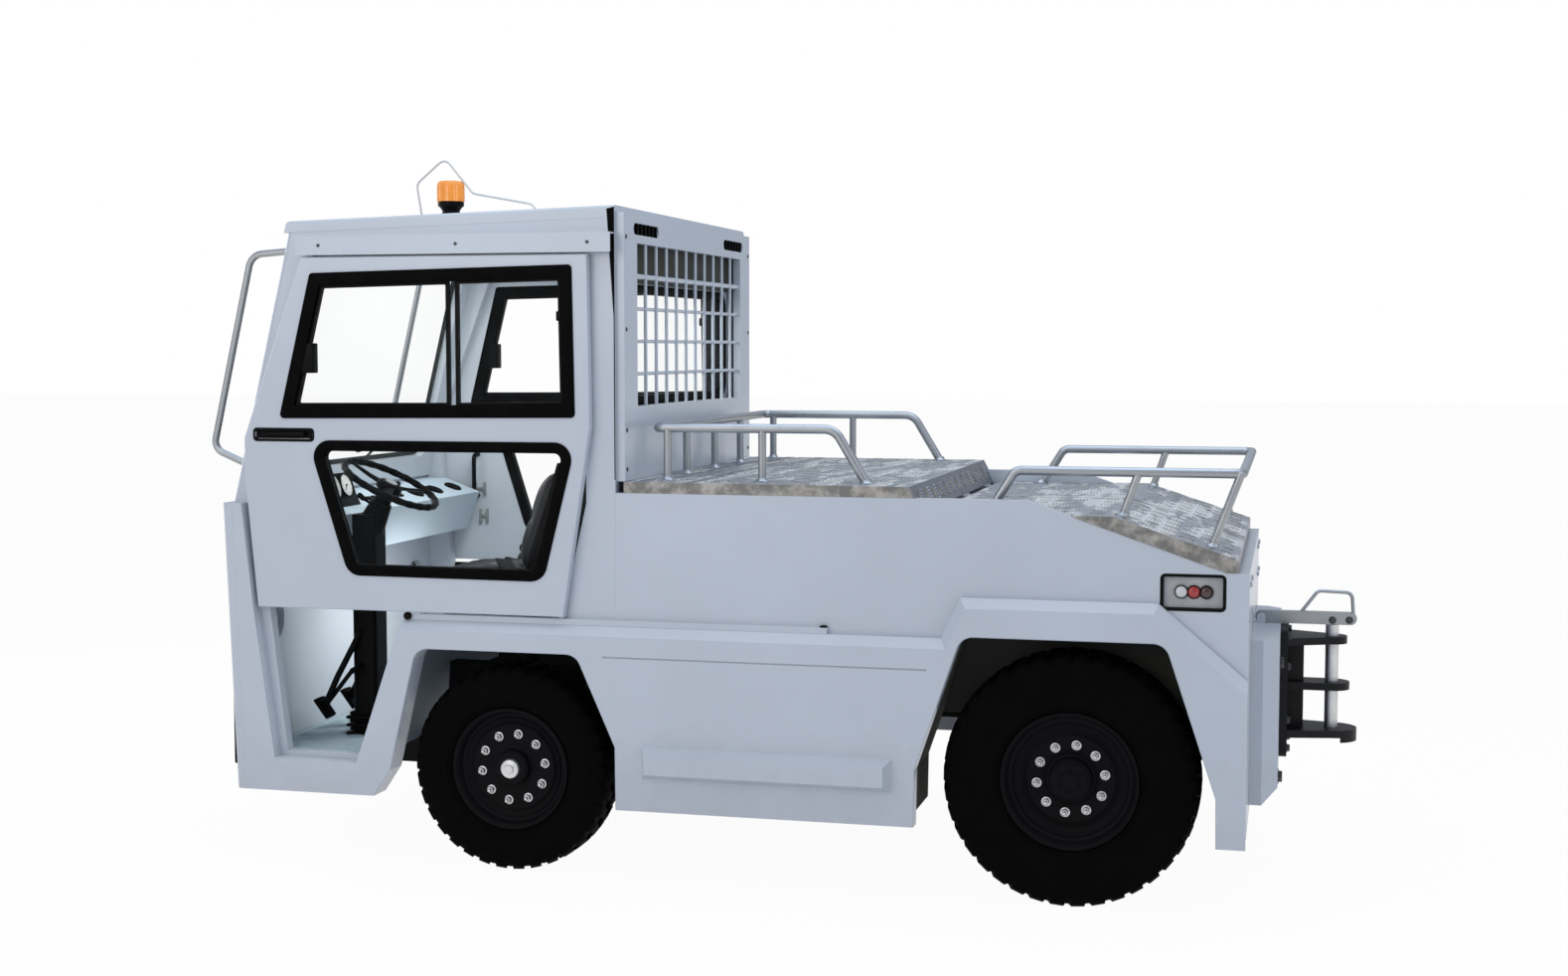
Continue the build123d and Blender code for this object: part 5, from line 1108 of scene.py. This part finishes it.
for key, spec in padStyle.items():
    wide, long, thick = spec["size"]
    shape, faces = swell(f"foam_{key}", padGrid(wide, long, thick, spec["bolster"]))
    shape = dentedPad(shape, spec)
    tree = BVHTree.FromPolygons(shape, faces)
    along = Vector(spec["along"]).normalized()
    turn = Matrix(((0, along.x, -along.z, 0), (1, 0, 0, 0), (0, along.z, along.x, 0), (0, 0, 0, 1)))
    rays = [Vector((math.cos(a), math.sin(a), 0))
            for a in (2 * math.pi * k / seatStyle["rimPoints"] for k in range(seatStyle["rimPoints"]))]
    rim = [tree.ray_cast(ray * 0.6, -ray)[0] for ray in rays]
    for side, outward in sides:
        place = Matrix.Translation((spec["at"][0], outward * seatStyle["y"], spec["at"][1])) @ turn
        pad, trim = newMeshes(2)
        corners = [pad.verts.new(place @ p) for p in shape]
        for face in faces:
            pad.faces.new([corners[i] for i in face])
        made = piece(f"seat_{key}_{side}", pad, "seatVinyl",
                     stands=["seats"] if (key, side) == ("base", "left") else (), crease=80, levels=1)
        addTube(trim, [place @ p for p in rim], seatStyle["piping"], 8, True)
        for u in (-seatStyle["seam"], seatStyle["seam"]):
            drops = (tree.ray_cast(Vector((u * wide, n / 14 * long, 0.3)), Vector((0, 0, -1)))[0]
                     for n in range(-12, 13))
            addTube(trim, [place @ (p + Vector((0, 0, 0.0006))) for p in drops if p], seatStyle["thread"], 6)
        piece(f"seat_{key}_piping_{side}", trim, "seatVinyl")

frameStyle = {"base": (-0.405, -0.035, 0.205, 0.872, 0.892), "foot": (-0.350, -0.070, 0.165, 0.7956, 0.806),
              "shell": fromAxle([(0, 905), (-22, 940), (98, 1352), (150, 1360), (165, 1340), (40, 905)]),
              "shellHalf": 0.195, "bellows": (-0.210, 0.135, 0.155, 0.804), "folds": 9, "foldHigh": 0.0086,
              "beltInner": 0.238, "beltOuter": 0.222, "buckleIn": 0.10,
              "runners": ((-0.18, -0.16), (0.16, 0.18)), "runnerZ": (0.862, 0.872)}
for side, outward in sides:
    y = outward * seatStyle["y"]
    frameMesh, bellows, belt, strap, metal = newMeshes(5)
    for key, bevel, parts in (("base", 0.006, 2), ("foot", 0.003, 1)):
        back, front, half, low, high = frameStyle[key]
        addBox(frameMesh, (frontAxle + back, y - half, low), (frontAxle + front, y + half, high),
               bevel, parts=parts)
    half = frameStyle["shellHalf"]
    addPlate(frameMesh, frameStyle["shell"], sidePlane(y - half, 1), 2 * half, 0.004)
    piece(f"seat_frame_{side}", frameMesh, "blackPlastic", soften=0.002)

    middleX, halfX, halfY, low = frameStyle["bellows"]  # folded rubber skirt over the sprung base
    rings = []
    for k in range(frameStyle["folds"]):
        out = 0.012 if k % 2 else 0.0
        outline = roundedOutline(rectangle(frontAxle + middleX, y, halfX + out, halfY + out), 0.03, 4)
        rings.append([bellows.verts.new((a, b, low + k * frameStyle["foldHigh"])) for a, b in outline])
    addSkin(bellows, rings)
    piece(f"seat_bellows_{side}", bellows, "sealRubber", crease=20)

    inner, outer = y - outward * frameStyle["beltInner"], y + outward * frameStyle["beltOuter"]
    buckle = outer - outward * frameStyle["buckleIn"]
    addTube(belt, [(frontAxle - 0.035, inner, 0.89), (frontAxle - 0.055, inner, 0.94),
                   (frontAxle - 0.065, inner, 0.985)], 0.006, 8)
    addBox(belt, (frontAxle - 0.080, inner - 0.009, 0.975), (frontAxle - 0.052, inner + 0.009, 1.035),
           0.004, parts=2)
    addBox(belt, (frontAxle - 0.065, outer - 0.014, 0.885), (frontAxle - 0.005, outer + 0.014, 0.960),
           0.006, parts=2)
    piece(f"belt_fittings_{side}", belt, "blackPlastic")
    route = [(frontAxle - 0.035, outer, 0.955), (frontAxle - 0.040, outer - outward * 0.012, 1.000),
             (frontAxle - 0.070, outer - outward * 0.060, 0.998), (frontAxle - 0.150, buckle, 1.000)]
    addTube(strap, roundedPath(route, 0.012, 5), 0.022, 4, flat=0.05)
    piece(f"belt_strap_{side}", strap, "webbing")
    addBox(metal, (frontAxle - 0.172, buckle - 0.014, 0.996), (frontAxle - 0.145, buckle + 0.014, 1.000),
           0.0015)
    low, high = frameStyle["runnerZ"]
    for near, far in frameStyle["runners"]:
        addBox(metal, (frontAxle - 0.36, y + near, low), (frontAxle - 0.06, y + far, high))
    piece(f"seat_metal_{side}", metal, "bareSteel")
print("seats")


# Steering wheel, column boot, pedals, instruments and levers

driveStyle = {"wheelAt": (frontAxle - 0.604, -0.3997, 1.257), "axis": (0.456, 0, 0.890), "r": 0.1735,
              "grip": 0.0130, "ripples": 24, "turns": 96, "spokes": (90, 205, 335), "pedals": (-0.110, 0.095),
              "column": frontAxle - 0.690, "bootFolds": 6, "foldHigh": 0.014}
wheelAt, wheelAxis = Vector(driveStyle["wheelAt"]), Vector(driveStyle["axis"]).normalized()
sideways = Vector((0, 1, 0))
forwards = wheelAxis.cross(sideways).normalized()
ringR, turns = driveStyle["r"], driveStyle["turns"]
ringMesh, spokes, button, controls, padMesh = newMeshes(5)
around = [2 * math.pi * k / turns for k in range(turns)]
addTube(ringMesh, [wheelAt + (sideways * math.cos(a) + forwards * math.sin(a)) * ringR for a in around],
        [driveStyle["grip"] - 0.0011 * (1 + math.cos(driveStyle["ripples"] * a)) for a in around], 14, True)
for angle in driveStyle["spokes"]:
    a = math.radians(angle)
    out = sideways * math.cos(a) + forwards * math.sin(a)
    base = wheelAt - wheelAxis * 0.010
    addTube(spokes, [base + out * 0.030, base + out * 0.085 + wheelAxis * 0.002,
                     wheelAt + out * (ringR - 0.006)], [0.022, 0.016, 0.012], 12, flat=0.38)
addLathe(spokes, [(0.034, -0.030), (0.047, -0.022), (0.047, -0.006), (0.040, 0.004), (0.030, 0.008),
                  (0, 0.009)], wheelAt, wheelAxis, 40)
addLathe(button, [(0.024, 0.0075), (0.022, 0.0105), (0, 0.011)], wheelAt, wheelAxis, 32)
piece("wheel_ring", ringMesh, "wheelGrip", "steering_wheel", ["steering_wheel"], 50)
piece("wheel_spokes", spokes, "blackPlastic", "steering_wheel", crease=40)
piece("wheel_horn_button", button, "greyPlastic", "steering_wheel", crease=40)

colX, seatY = driveStyle["column"], driveStyle["wheelAt"][1]
for k in range(driveStyle["bootFolds"]):
    grow = 0.010 * (1 - k % 2) + 0.010
    z = floorTop + k * driveStyle["foldHigh"]
    addBox(controls, (colX - 0.045 - grow, seatY - 0.055 - grow, z),
           (colX + 0.045 + grow, seatY + 0.055 + grow, z + 0.011), 0.004)
foot = wheelAt - wheelAxis * 0.150
addTube(controls, [foot - wheelAxis * 0.03, foot + wheelAxis * 0.075], [0.052, 0.038], 20)
start = foot + wheelAxis * 0.055
for hand, lift in ((-1, 0.0), (1, 0.02)):  # indicator and direction stalks
    addBend(controls, [start, start + Vector((0.01, hand * 0.085, 0.02)),
                       start + Vector((0.0, hand * 0.135, 0.045 + lift))], 0.03, 0.0055, 8, 4)
    addTube(controls, [start + Vector((0.0, hand * 0.130, 0.043 + lift)),
                       start + Vector((0, hand * 0.158, 0.056 + lift))], 0.010, 10)
normal, down = Vector((0.8, 0, 0.6)), Vector((0.6, 0, -0.8))
for y in driveStyle["pedals"]:
    at = Vector((frontAxle - 0.822, seatY + y, 0.462)) + normal * 0.0145
    addTube(controls, [at - normal * 0.012, at - normal * 0.012 + Vector((0.055, 0.0, 0.115)),
                       (colX - 0.01, seatY + y * 0.5, 0.735)], 0.011, 10)
    addTube(controls, [at - normal * 0.010 + down * 0.040, at - normal * 0.010 - down * 0.040],
            0.034, 12, flat=0.3)
    for k in range(-3, 4):
        mid = at + down * k * 0.0115
        addTube(padMesh, [mid - sideways * 0.027, mid + sideways * 0.027], 0.0034, 6)
addBox(padMesh, (frontAxle - 0.860, seatY + 0.165, 0.3655), (frontAxle - 0.800, seatY + 0.245, 0.385),
       0.006, parts=2)
piece("column_boot", controls, "blackPlastic", crease=35)
piece("pedal_pads", padMesh, "sealRubber")

dashStyle = {"pod": [(-1.735, 1.200), (-1.725, 1.262), (-1.640, 1.288), (-1.632, 1.276), (-1.612, 1.212),
                     (-1.590, 1.166), (-1.62, 1.165)], "podHalf": 0.165, "dialAt": (-1.6205, 1.243),
             "dials": ((-0.095, 0.040), (0, 0.046), (0.095, 0.040)), "switches": 7, "switchPitch": 0.040,
             "vents": (0.26, 0.44, 0.62), "slope": math.atan2(0.055, 0.150)}
pod, dials, needles, rockers = newMeshes(4)
addPlate(pod, dashStyle["pod"], sidePlane(seatY - dashStyle["podHalf"], 1), 2 * dashStyle["podHalf"], 0.006)
faceAxis = Vector((0.954, 0, 0.298))
upwards = faceAxis.cross(sideways).normalized()
for y, r in dashStyle["dials"]:
    at = Vector((dashStyle["dialAt"][0], seatY + y, dashStyle["dialAt"][1]))
    addLathe(pod, [(r + 0.001, -0.004), (r + 0.005, 0.004), (r + 0.003, 0.008), (r, 0.006), (r, 0.001)],
             at, faceAxis, 36)
    addLathe(dials, [(r, 0), (r, 0.0032), (0, 0.0032)], at, faceAxis, 36)
    for n in range(9):
        a = math.radians(-120 + n * 30)
        tick = -upwards * math.cos(a) + sideways * math.sin(a)
        addTube(needles, [at + faceAxis * 0.0038 + tick * r * share for share in (0.74, 0.88)], 0.0009, 4)
    tick = -upwards * math.cos(0.7) - sideways * math.sin(0.7)
    addTube(needles, [at + faceAxis * 0.0045 - tick * 0.006, at + faceAxis * 0.0045 + tick * r * 0.72],
            [0.0016, 0.0006], 4)
    addLathe(needles, [(0.004, 0.003), (0.004, 0.006), (0, 0.006)], at, faceAxis, 12)
faceUp = Vector((0.344, 0, 0.939)).normalized()
tilt = Matrix.Rotation(dashStyle["slope"], 4, "Y")
for k in range(dashStyle["switches"]):
    at = Vector((-1.612, -0.17 + k * dashStyle["switchPitch"] + 0.05, 1.1768)) + faceUp * 0.004
    addBox(rockers, at - Vector((0.018, 0.013, 0.004)), at + Vector((0.018, 0.013, 0.0045)), 0.002, tilt)
for y in dashStyle["vents"]:  # round air vents for the passenger's side
    at = Vector((-1.606, y, 1.1745))
    addLathe(rockers, [(0.036, 0), (0.036, 0.006), (0.030, 0.009), (0.028, 0.003), (0.0, 0.003)],
             at, faceUp, 32)
    for k in (-1, 0, 1):
        addBox(rockers, at + Vector((-0.024, k * 0.014 - 0.002, 0.002)),
               at + Vector((0.024, k * 0.014 + 0.002, 0.008)), 0, tilt)
piece("instrument_pod", pod, "blackPlastic", crease=35)
piece("dial_faces", dials, "dialFace")
piece("dial_needles", needles, "blackPlastic")
piece("dash_switches", rockers, "blackPlastic", crease=35)

leverStyle = {"box": ((-1.14, -0.075, 0.7956), (-0.80, 0.075, 0.872)),
              "gate": ((-1.10, -0.052, 0.872), (-0.98, 0.052, 0.884)),
              "shift": ((-1.04, 0.018, 0.880), (-1.055, 0.018, 0.985)), "shiftLean": (-0.12, 0, 1),
              "brake": ((-0.90, -0.03, 0.872), (-0.93, -0.03, 0.925), (-1.07, -0.03, 0.950)),
              "brakeGrip": ((-1.02, -0.03, 0.9415), (-1.115, -0.03, 0.9575))}
lever, knob, cabFloor = newMeshes(3)
addBox(lever, *leverStyle["box"], 0.012, parts=3)
addBox(lever, *leverStyle["gate"], 0.006, parts=2)
addTube(lever, leverStyle["shift"], 0.006, 10)
addBend(lever, leverStyle["brake"], 0.03, 0.009, 10)
addTube(knob, leverStyle["brakeGrip"], [0.013, 0.011], 12)
addLathe(knob, [(0, -0.010), (0.012, -0.006), (0.021, 0.010), (0.018, 0.026), (0, 0.032)],
         leverStyle["shift"][1], leverStyle["shiftLean"], 24)
piece("lever_box", lever, "cabPlastic", crease=35)
piece("lever_knobs", knob, "blackPlastic", crease=40)
addTread(cabFloor, (-1.735, -0.742, floorTop), backward, leftToRight, 0.40, 1.484)
piece("cab_floor_tread", cabFloor, "stepPaint", crease=20)
print("cab inside")


# Under the body: drums, spring clamps, dampers, tank, battery box, silencer and lines

underStyle = {"drums": (("front", 0.130, 0.028, 0.082), ("rear", 0.150, 0.020, 0.095)), "springY": 0.33,
              "clampX": (-0.045, 0.045), "clampHalf": 0.043, "packX": (-0.18, 0.18),
              "tank": ((-0.24, -0.715, 0.325), (0.34, -0.41, 0.575)),
              "battery": ((-0.26, 0.42, 0.335), (0.02, 0.70, 0.570)),
              "silencer": (-0.04, 0.32, 0.50, 0.480, 0.066),
              "damper": ((0.155, 0.415, 0.575), (0.050, 0.435, 0.345)),
              "lines": ((frontAxle, ((0.20, 0.36, 0.560), (0.14, 0.44, 0.46), (0.075, 0.50, 0.40),
                                     (0.040, 0.555, 0.372))),
                        (rearAxle, ((-0.32, 0.30, 0.64), (-0.16, 0.30, 0.50), (-0.07, 0.34, 0.475),
                                    (-0.07, 0.575, 0.475)))),
              "tailCorner": ((1.562, 1.585), (0.7475, 0.789), (0.240, 0.690))}
for end, r, near, far in underStyle["drums"]:
    profile = [(0.062, near), (r - 0.010, near), (r, near + 0.006), (r, near + 0.016),
               (r - 0.006, near + 0.019), (r - 0.006, far - 0.022), (r + 0.003, far - 0.018),
               (r + 0.003, far - 0.004), (r - 0.008, far), (0.062, far), (0.062, near)]
    for side, outward in sides:
        drum = bmesh.new()
        addLathe(drum, [(a, -b) for a, b in profile], middle(f"tyre_{end}_{side}"), (0, outward, 0), 56)
        piece(f"brake_drum_{end}_{side}", drum, "castBlack", f"wheel_{end}_{side}", crease=30)

clamps, dampers, damperBody, lines = newMeshes(4)
reach = underStyle["clampHalf"]
for side, outward in sides:
    y = outward * underStyle["springY"]
    for x in (frontAxle + dx for dx in underStyle["clampX"]):
        addBend(clamps, [(x, y - reach, 0.292), (x, y - reach, 0.440), (x, y + reach, 0.440),
                         (x, y + reach, 0.292)], 0.014, 0.007, 10, 4)
        for dy in (-reach, reach):
            addBolt(clamps, (x, y + dy, 0.309), (0, 0, -1), 0.011, 0.011)
    for x in (frontAxle + dx for dx in underStyle["packX"]):
        addBox(clamps, (x - 0.014, y - 0.042, 0.392), (x + 0.014, y + 0.042, 0.436), 0.003)
    top, foot = (Vector((frontAxle + dx, outward * dy, z)) for dx, dy, z in underStyle["damper"])
    run = (foot - top).normalized()
    addTube(damperBody, [top + run * 0.03, top + run * 0.135], 0.024, 20)
    addTube(dampers, [top + run * 0.13, foot], 0.008, 12)
    for eye in (top, foot):
        addLathe(dampers, [(0, -0.022), (0.018, -0.022), (0.018, 0.022), (0, 0.022)], eye, (0, 1, 0), 20)
    for axle, route in underStyle["lines"]:
        addBend(lines, [(axle + dx, outward * dy, z) for dx, dy, z in route], 0.05, 0.006, 8)
piece("spring_clamps", clamps, "zincPlate")
piece("damper_rods", dampers, "boltSteel")
piece("damper_tubes", damperBody, "blackPaint")
piece("brake_lines", lines, "sealRubber")

tank, straps, hot, corners = newMeshes(4)
(x0, y0, z0), (x1, y1, z1) = underStyle["tank"]
addBox(tank, (x0, y0, z0), (x1, y1, z1), 0.030, parts=3)
addLathe(tank, [(0, 0), (0.038, 0), (0.038, 0.030), (0.030, 0.036), (0, 0.036)],
         (x1 - 0.09, y1 - 0.10, z1 - 0.002), upright, 28)
for x in (x0 + 0.12, x1 - 0.14):
    loop = [(x, y0 - 0.002, z0 - 0.002), (x, y1 + 0.002, z0 - 0.002), (x, y1 + 0.002, z1 + 0.002),
            (x, y0 - 0.002, z1 + 0.002)]
    addTube(straps, roundedPath(loop, 0.030, 5, True), 0.015, 4, True, 0.12)
    addBox(straps, (x - 0.02, y1 - 0.01, 0.53), (x + 0.02, -0.355, 0.56), 0.003)
(x0, y0, z0), (x1, y1, z1) = underStyle["battery"]
addBox(tank, (x0, y0, z0), (x1, y1, z1), 0.010, parts=2)
addBox(tank, (x0 - 0.006, y0 - 0.006, z1 - 0.030), (x1 + 0.006, y1 + 0.006, z1 + 0.010), 0.008, parts=2)
addBox(straps, (x0 + 0.02, 0.355, 0.52), (x1 - 0.02, y0 + 0.01, 0.55), 0.003)
start, end, y, z, r = underStyle["silencer"]
long = end - start
addLathe(hot, [(0.024, -0.05), (0.024, 0), (r - 0.02, 0.010), (r, 0.030), (r, long - 0.03),
               (r - 0.02, long - 0.010), (0.024, long), (0.024, long + 0.03)], (start, y, z), backward, 40)
addBend(hot, [(start - 0.045, y, z), (start - 0.13, y, z), (start - 0.14, 0.40, 0.49),
              (start + 0.02, 0.28, 0.66)], 0.06, 0.024, 16, 6)
addBend(hot, [(end + 0.025, y, z), (end + 0.07, y + 0.02, z - 0.01), (end + 0.10, y + 0.10, z - 0.10)],
        0.05, 0.022, 16, 6)
piece("tank_and_battery_box", tank, "blackPlastic", crease=35)
piece("tank_straps", straps, "zincPlate")
piece("silencer", hot, "darkBolt", crease=35)
fasten("pad_bolts", "body", "darkBolt",
       [((-1.8276, y, z), (-1, 0, 0), 0.013, 0.005)
        for y in (-0.66, -0.33, 0.33, 0.66) for z in (0.345, 0.537)])
for side, outward in sides:
    addSideBox(corners, outward, *underStyle["tailCorner"], 0.003)
piece("tail_corners", corners, "whitePaint")
fasten("axle_bolts", "body", "darkBolt",
       [((rearAxle, outward * 0.30 + dy, 0.300), (0, 0, -1), 0.012, 0.010)
        for side, outward in sides for dy in (-0.03, 0.03)])


# Under the hood and the deck: cooler, air filter, oil tank, hoses, and dress on the engine

bayStyle = {"cooler": ((0.435, -0.27, 0.66), (0.500, 0.27, 1.09)), "fins": 24, "finPitch": 0.0172,
            "tray": ((0.64, -0.52, 0.782), (1.30, 0.52, 0.788)),
            "oil": ((0.74, -0.46, 0.790), (1.10, -0.16, 1.000)),
            "filter": (0.78, 0.30, 0.895, 0.100, 0.36), "legs": ((0.66, 1.26), (-0.33, 0.33), (0.62, 0.784)),
            "headCover": ((-0.20, -0.10, 1.079), (0.30, 0.10, 1.130)), "ports": (-0.14, -0.02, 0.10, 0.22),
            "manifold": ((-0.20, 0.335, 0.93), (0.30, 0.335, 0.93)), "oilCap": (0.84, -0.31, 1.0),
            "hoses": ((0.09, 0.032, 16, 7, ((1.17, 0.30, 0.895), (1.24, 0.28, 0.895), (1.25, 0.05, 0.86),
                                            (0.66, 0.05, 0.86), (0.56, 0.12, 0.95), (0.38, 0.12, 1.0))),
                      (0.06, 0.016, 12, 6, ((0.50, -0.20, 1.03), (0.56, -0.20, 1.03), (0.62, -0.28, 0.94),
                                            (0.75, -0.30, 0.90))),
                      (0.06, 0.014, 12, 6, ((0.50, -0.20, 0.72), (0.58, -0.20, 0.72), (0.70, -0.33, 0.83),
                                            (0.76, -0.36, 0.84))),
                      (0.06, 0.013, 12, 6, ((0.90, -0.16, 0.84), (0.98, -0.05, 0.84), (1.20, -0.02, 0.82),
                                            (1.32, 0.0, 0.80), (1.40, 0.0, 0.66))))}
dressed, cooler, filterBody, hoses = newMeshes(4)
low, high = bayStyle["cooler"]
addBox(dressed, low, high, 0.004)
for k in range(bayStyle["fins"]):
    z = low[2] + 0.012 + k * bayStyle["finPitch"]
    addBox(cooler, (high[0], low[1] + 0.02, z), (high[0] + 0.006, high[1] - 0.02, z + 0.006))
addBox(dressed, *bayStyle["tray"])
legX, legY, (legFoot, legTop) = bayStyle["legs"]
for x in legX:
    for y in legY:
        addBox(dressed, (x, y - 0.02, legFoot), (x + 0.04, y + 0.02, legTop), 0.003)
addBox(dressed, *bayStyle["headCover"], 0.020, parts=3)
for x in bayStyle["ports"]:
    addBend(dressed, [(x, 0.10, 1.06), (x, 0.30, 1.05), (x, 0.33, 0.95)], 0.05, 0.020)
addTube(dressed, bayStyle["manifold"], 0.034, 16)
addBox(filterBody, *bayStyle["oil"], 0.024, parts=3)
addLathe(filterBody, [(0, 0), (0.036, 0), (0.036, 0.024), (0.028, 0.030), (0, 0.030)],
         bayStyle["oilCap"], upright, 24)
x, y, z, r, long = bayStyle["filter"]
addLathe(filterBody, [(0, 0), (r - 0.012, 0), (r, 0.012), (r, 0.10), (r + 0.006, 0.105), (r + 0.006, 0.120),
                      (r, 0.125), (r, long - 0.02), (r - 0.02, long), (0.05, long), (0.05, long + 0.03),
                      (0, long + 0.03)], (x, y, z), backward, 40)
for radius, r, steps, parts, route in bayStyle["hoses"]:
    addBend(hoses, route, radius, r, steps, parts)
piece("engine_dress", dressed, "engineGrey", crease=35)
piece("cooler_fins", cooler, "zincPlate")
piece("filter_and_oil_tank", filterBody, "blackPlastic", crease=35)
piece("bay_hoses", hoses, "sealRubber")
print("under the body")


# Floor, light and camera

def stageMaterial(name, colour, seen):
    # pale floor that the camera sees as white
    paint = Paint(name, colour, 0.9)
    path = paint.tree.nodes.new("ShaderNodeLightPath")
    camera, glossy, through = (Wire(paint, path.outputs[k])
                               for k in ("Is Camera Ray", "Is Glossy Ray", "Is Transmission Ray"))
    glow = paint.node("ShaderNodeEmission", None, {"Color": (1.0, 1.0, 1.0), "Strength": seen})
    straight = paint.node("ShaderNodeMath", {"operation": "MAXIMUM"}, {0: glossy, 1: through})
    floor = Wire(paint, paint.shader.outputs[0])
    blend = paint.node("ShaderNodeMixShader", None, {0: straight, 1: floor, 2: glow})
    cast = paint.node("ShaderNodeMixShader", None, {0: camera * 0.96, 1: blend, 2: glow})
    paint.tree.links.new(cast.out, paint.tree.nodes["Material Output"].inputs["Surface"])
    return paint.material


ground = bmesh.new()
bmesh.ops.create_grid(ground, x_segments=2, y_segments=2, size=60.0)
groundObject = objectFrom("ground", ground)
groundObject.location.z = -0.0005
groundObject.data.materials.append(stageMaterial("groundPale", (0.86, 0.87, 0.89), 1.0))

world = bpy.data.worlds.new("paleRoom")
bpy.context.scene.world = world
world.use_nodes = True
worldTree = world.node_tree
lit = worldTree.nodes["Background"]
seen, rayKind, straight, worldMix = (worldTree.nodes.new("ShaderNode" + kind) for kind in
                                     ("Background", "LightPath", "Math", "MixShader"))
for node, colour, strength in ((lit, (0.86, 0.90, 1.0, 1), 0.52), (seen, (1, 1, 1, 1), 1.0)):
    node.inputs["Color"].default_value = colour
    node.inputs["Strength"].default_value = strength
straight.operation = "MAXIMUM"
for out, socket in ((rayKind.outputs["Is Camera Ray"], straight.inputs[0]),
                    (rayKind.outputs["Is Transmission Ray"], straight.inputs[1]),
                    (straight.outputs[0], worldMix.inputs[0]), (lit.outputs[0], worldMix.inputs[1]),
                    (seen.outputs[0], worldMix.inputs[2]),
                    (worldMix.outputs[0], worldTree.nodes["World Output"].inputs["Surface"])):
    worldTree.links.new(out, socket)

softLights = {  # place, point it looks at, size, power and colour
    "overhead": ((0.2, -0.5, 5.2), (0, 0, 0.8), (6.5, 5.0), 140, (0.72, 0.87, 1.0)),
    "nearSide": ((-2.5, -6.0, 3.2), (0, 0, 1.0), (4.5, 3.0), 92, (1.0, 0.97, 0.94)),
    "cabFill": ((-0.95, 0, 2.06), (-1.1, 0, 1.0), (0.62, 0.62), 16, (0.93, 1.0, 0.95)),
    "stepFill": ((-1.34, 0.0, 0.84), (-1.78, 0.0, 0.62), (0.5, 0.2), 2.5, (0.97, 1.0, 0.97)),
    "frontSide": ((-5.5, 1.5, 2.6), (-1.0, 0, 1.2), (3.0, 3.0), 55, (1.0, 0.98, 0.96)),
    "rearSide": ((5.5, -2.5, 3.0), (0.5, 0, 1.0), (3.0, 3.0), 40, (0.92, 0.96, 1.0)),
}


def pointed(name, data, at, look):
    holder = placed(name, data)
    holder.location = at
    holder.rotation_mode = "QUATERNION"
    holder.rotation_quaternion = look.to_track_quat("-Z", "Y")
    return holder


for name, (at, aim, size, power, colour) in softLights.items():
    lamp = bpy.data.lights.new(name, "AREA")
    lamp.shape = "RECTANGLE"
    lamp.size, lamp.size_y = size
    lamp.energy = power
    lamp.color = colour
    holder = pointed(name, lamp, at, Vector(aim) - Vector(at))
    holder.visible_camera = False
    holder.visible_glossy = not name.endswith("Fill")

cameraView = {"at": (1.7121, -6.9939, 1.7422), "yaw": 0.2478, "down": 0.0696, "lens": 46.33, "film": 36.0}
camera = bpy.data.cameras.new("photoCamera")
camera.lens = cameraView["lens"]
camera.sensor_width = cameraView["film"]
yaw, down = cameraView["yaw"], cameraView["down"]
ahead = Vector((-math.sin(yaw) * math.cos(down), math.cos(yaw) * math.cos(down), -math.sin(down)))
bpy.context.scene.camera = pointed("photoCamera", camera, cameraView["at"], ahead)
bpy.context.scene.view_settings.view_transform = "Standard"

print("scene ready")
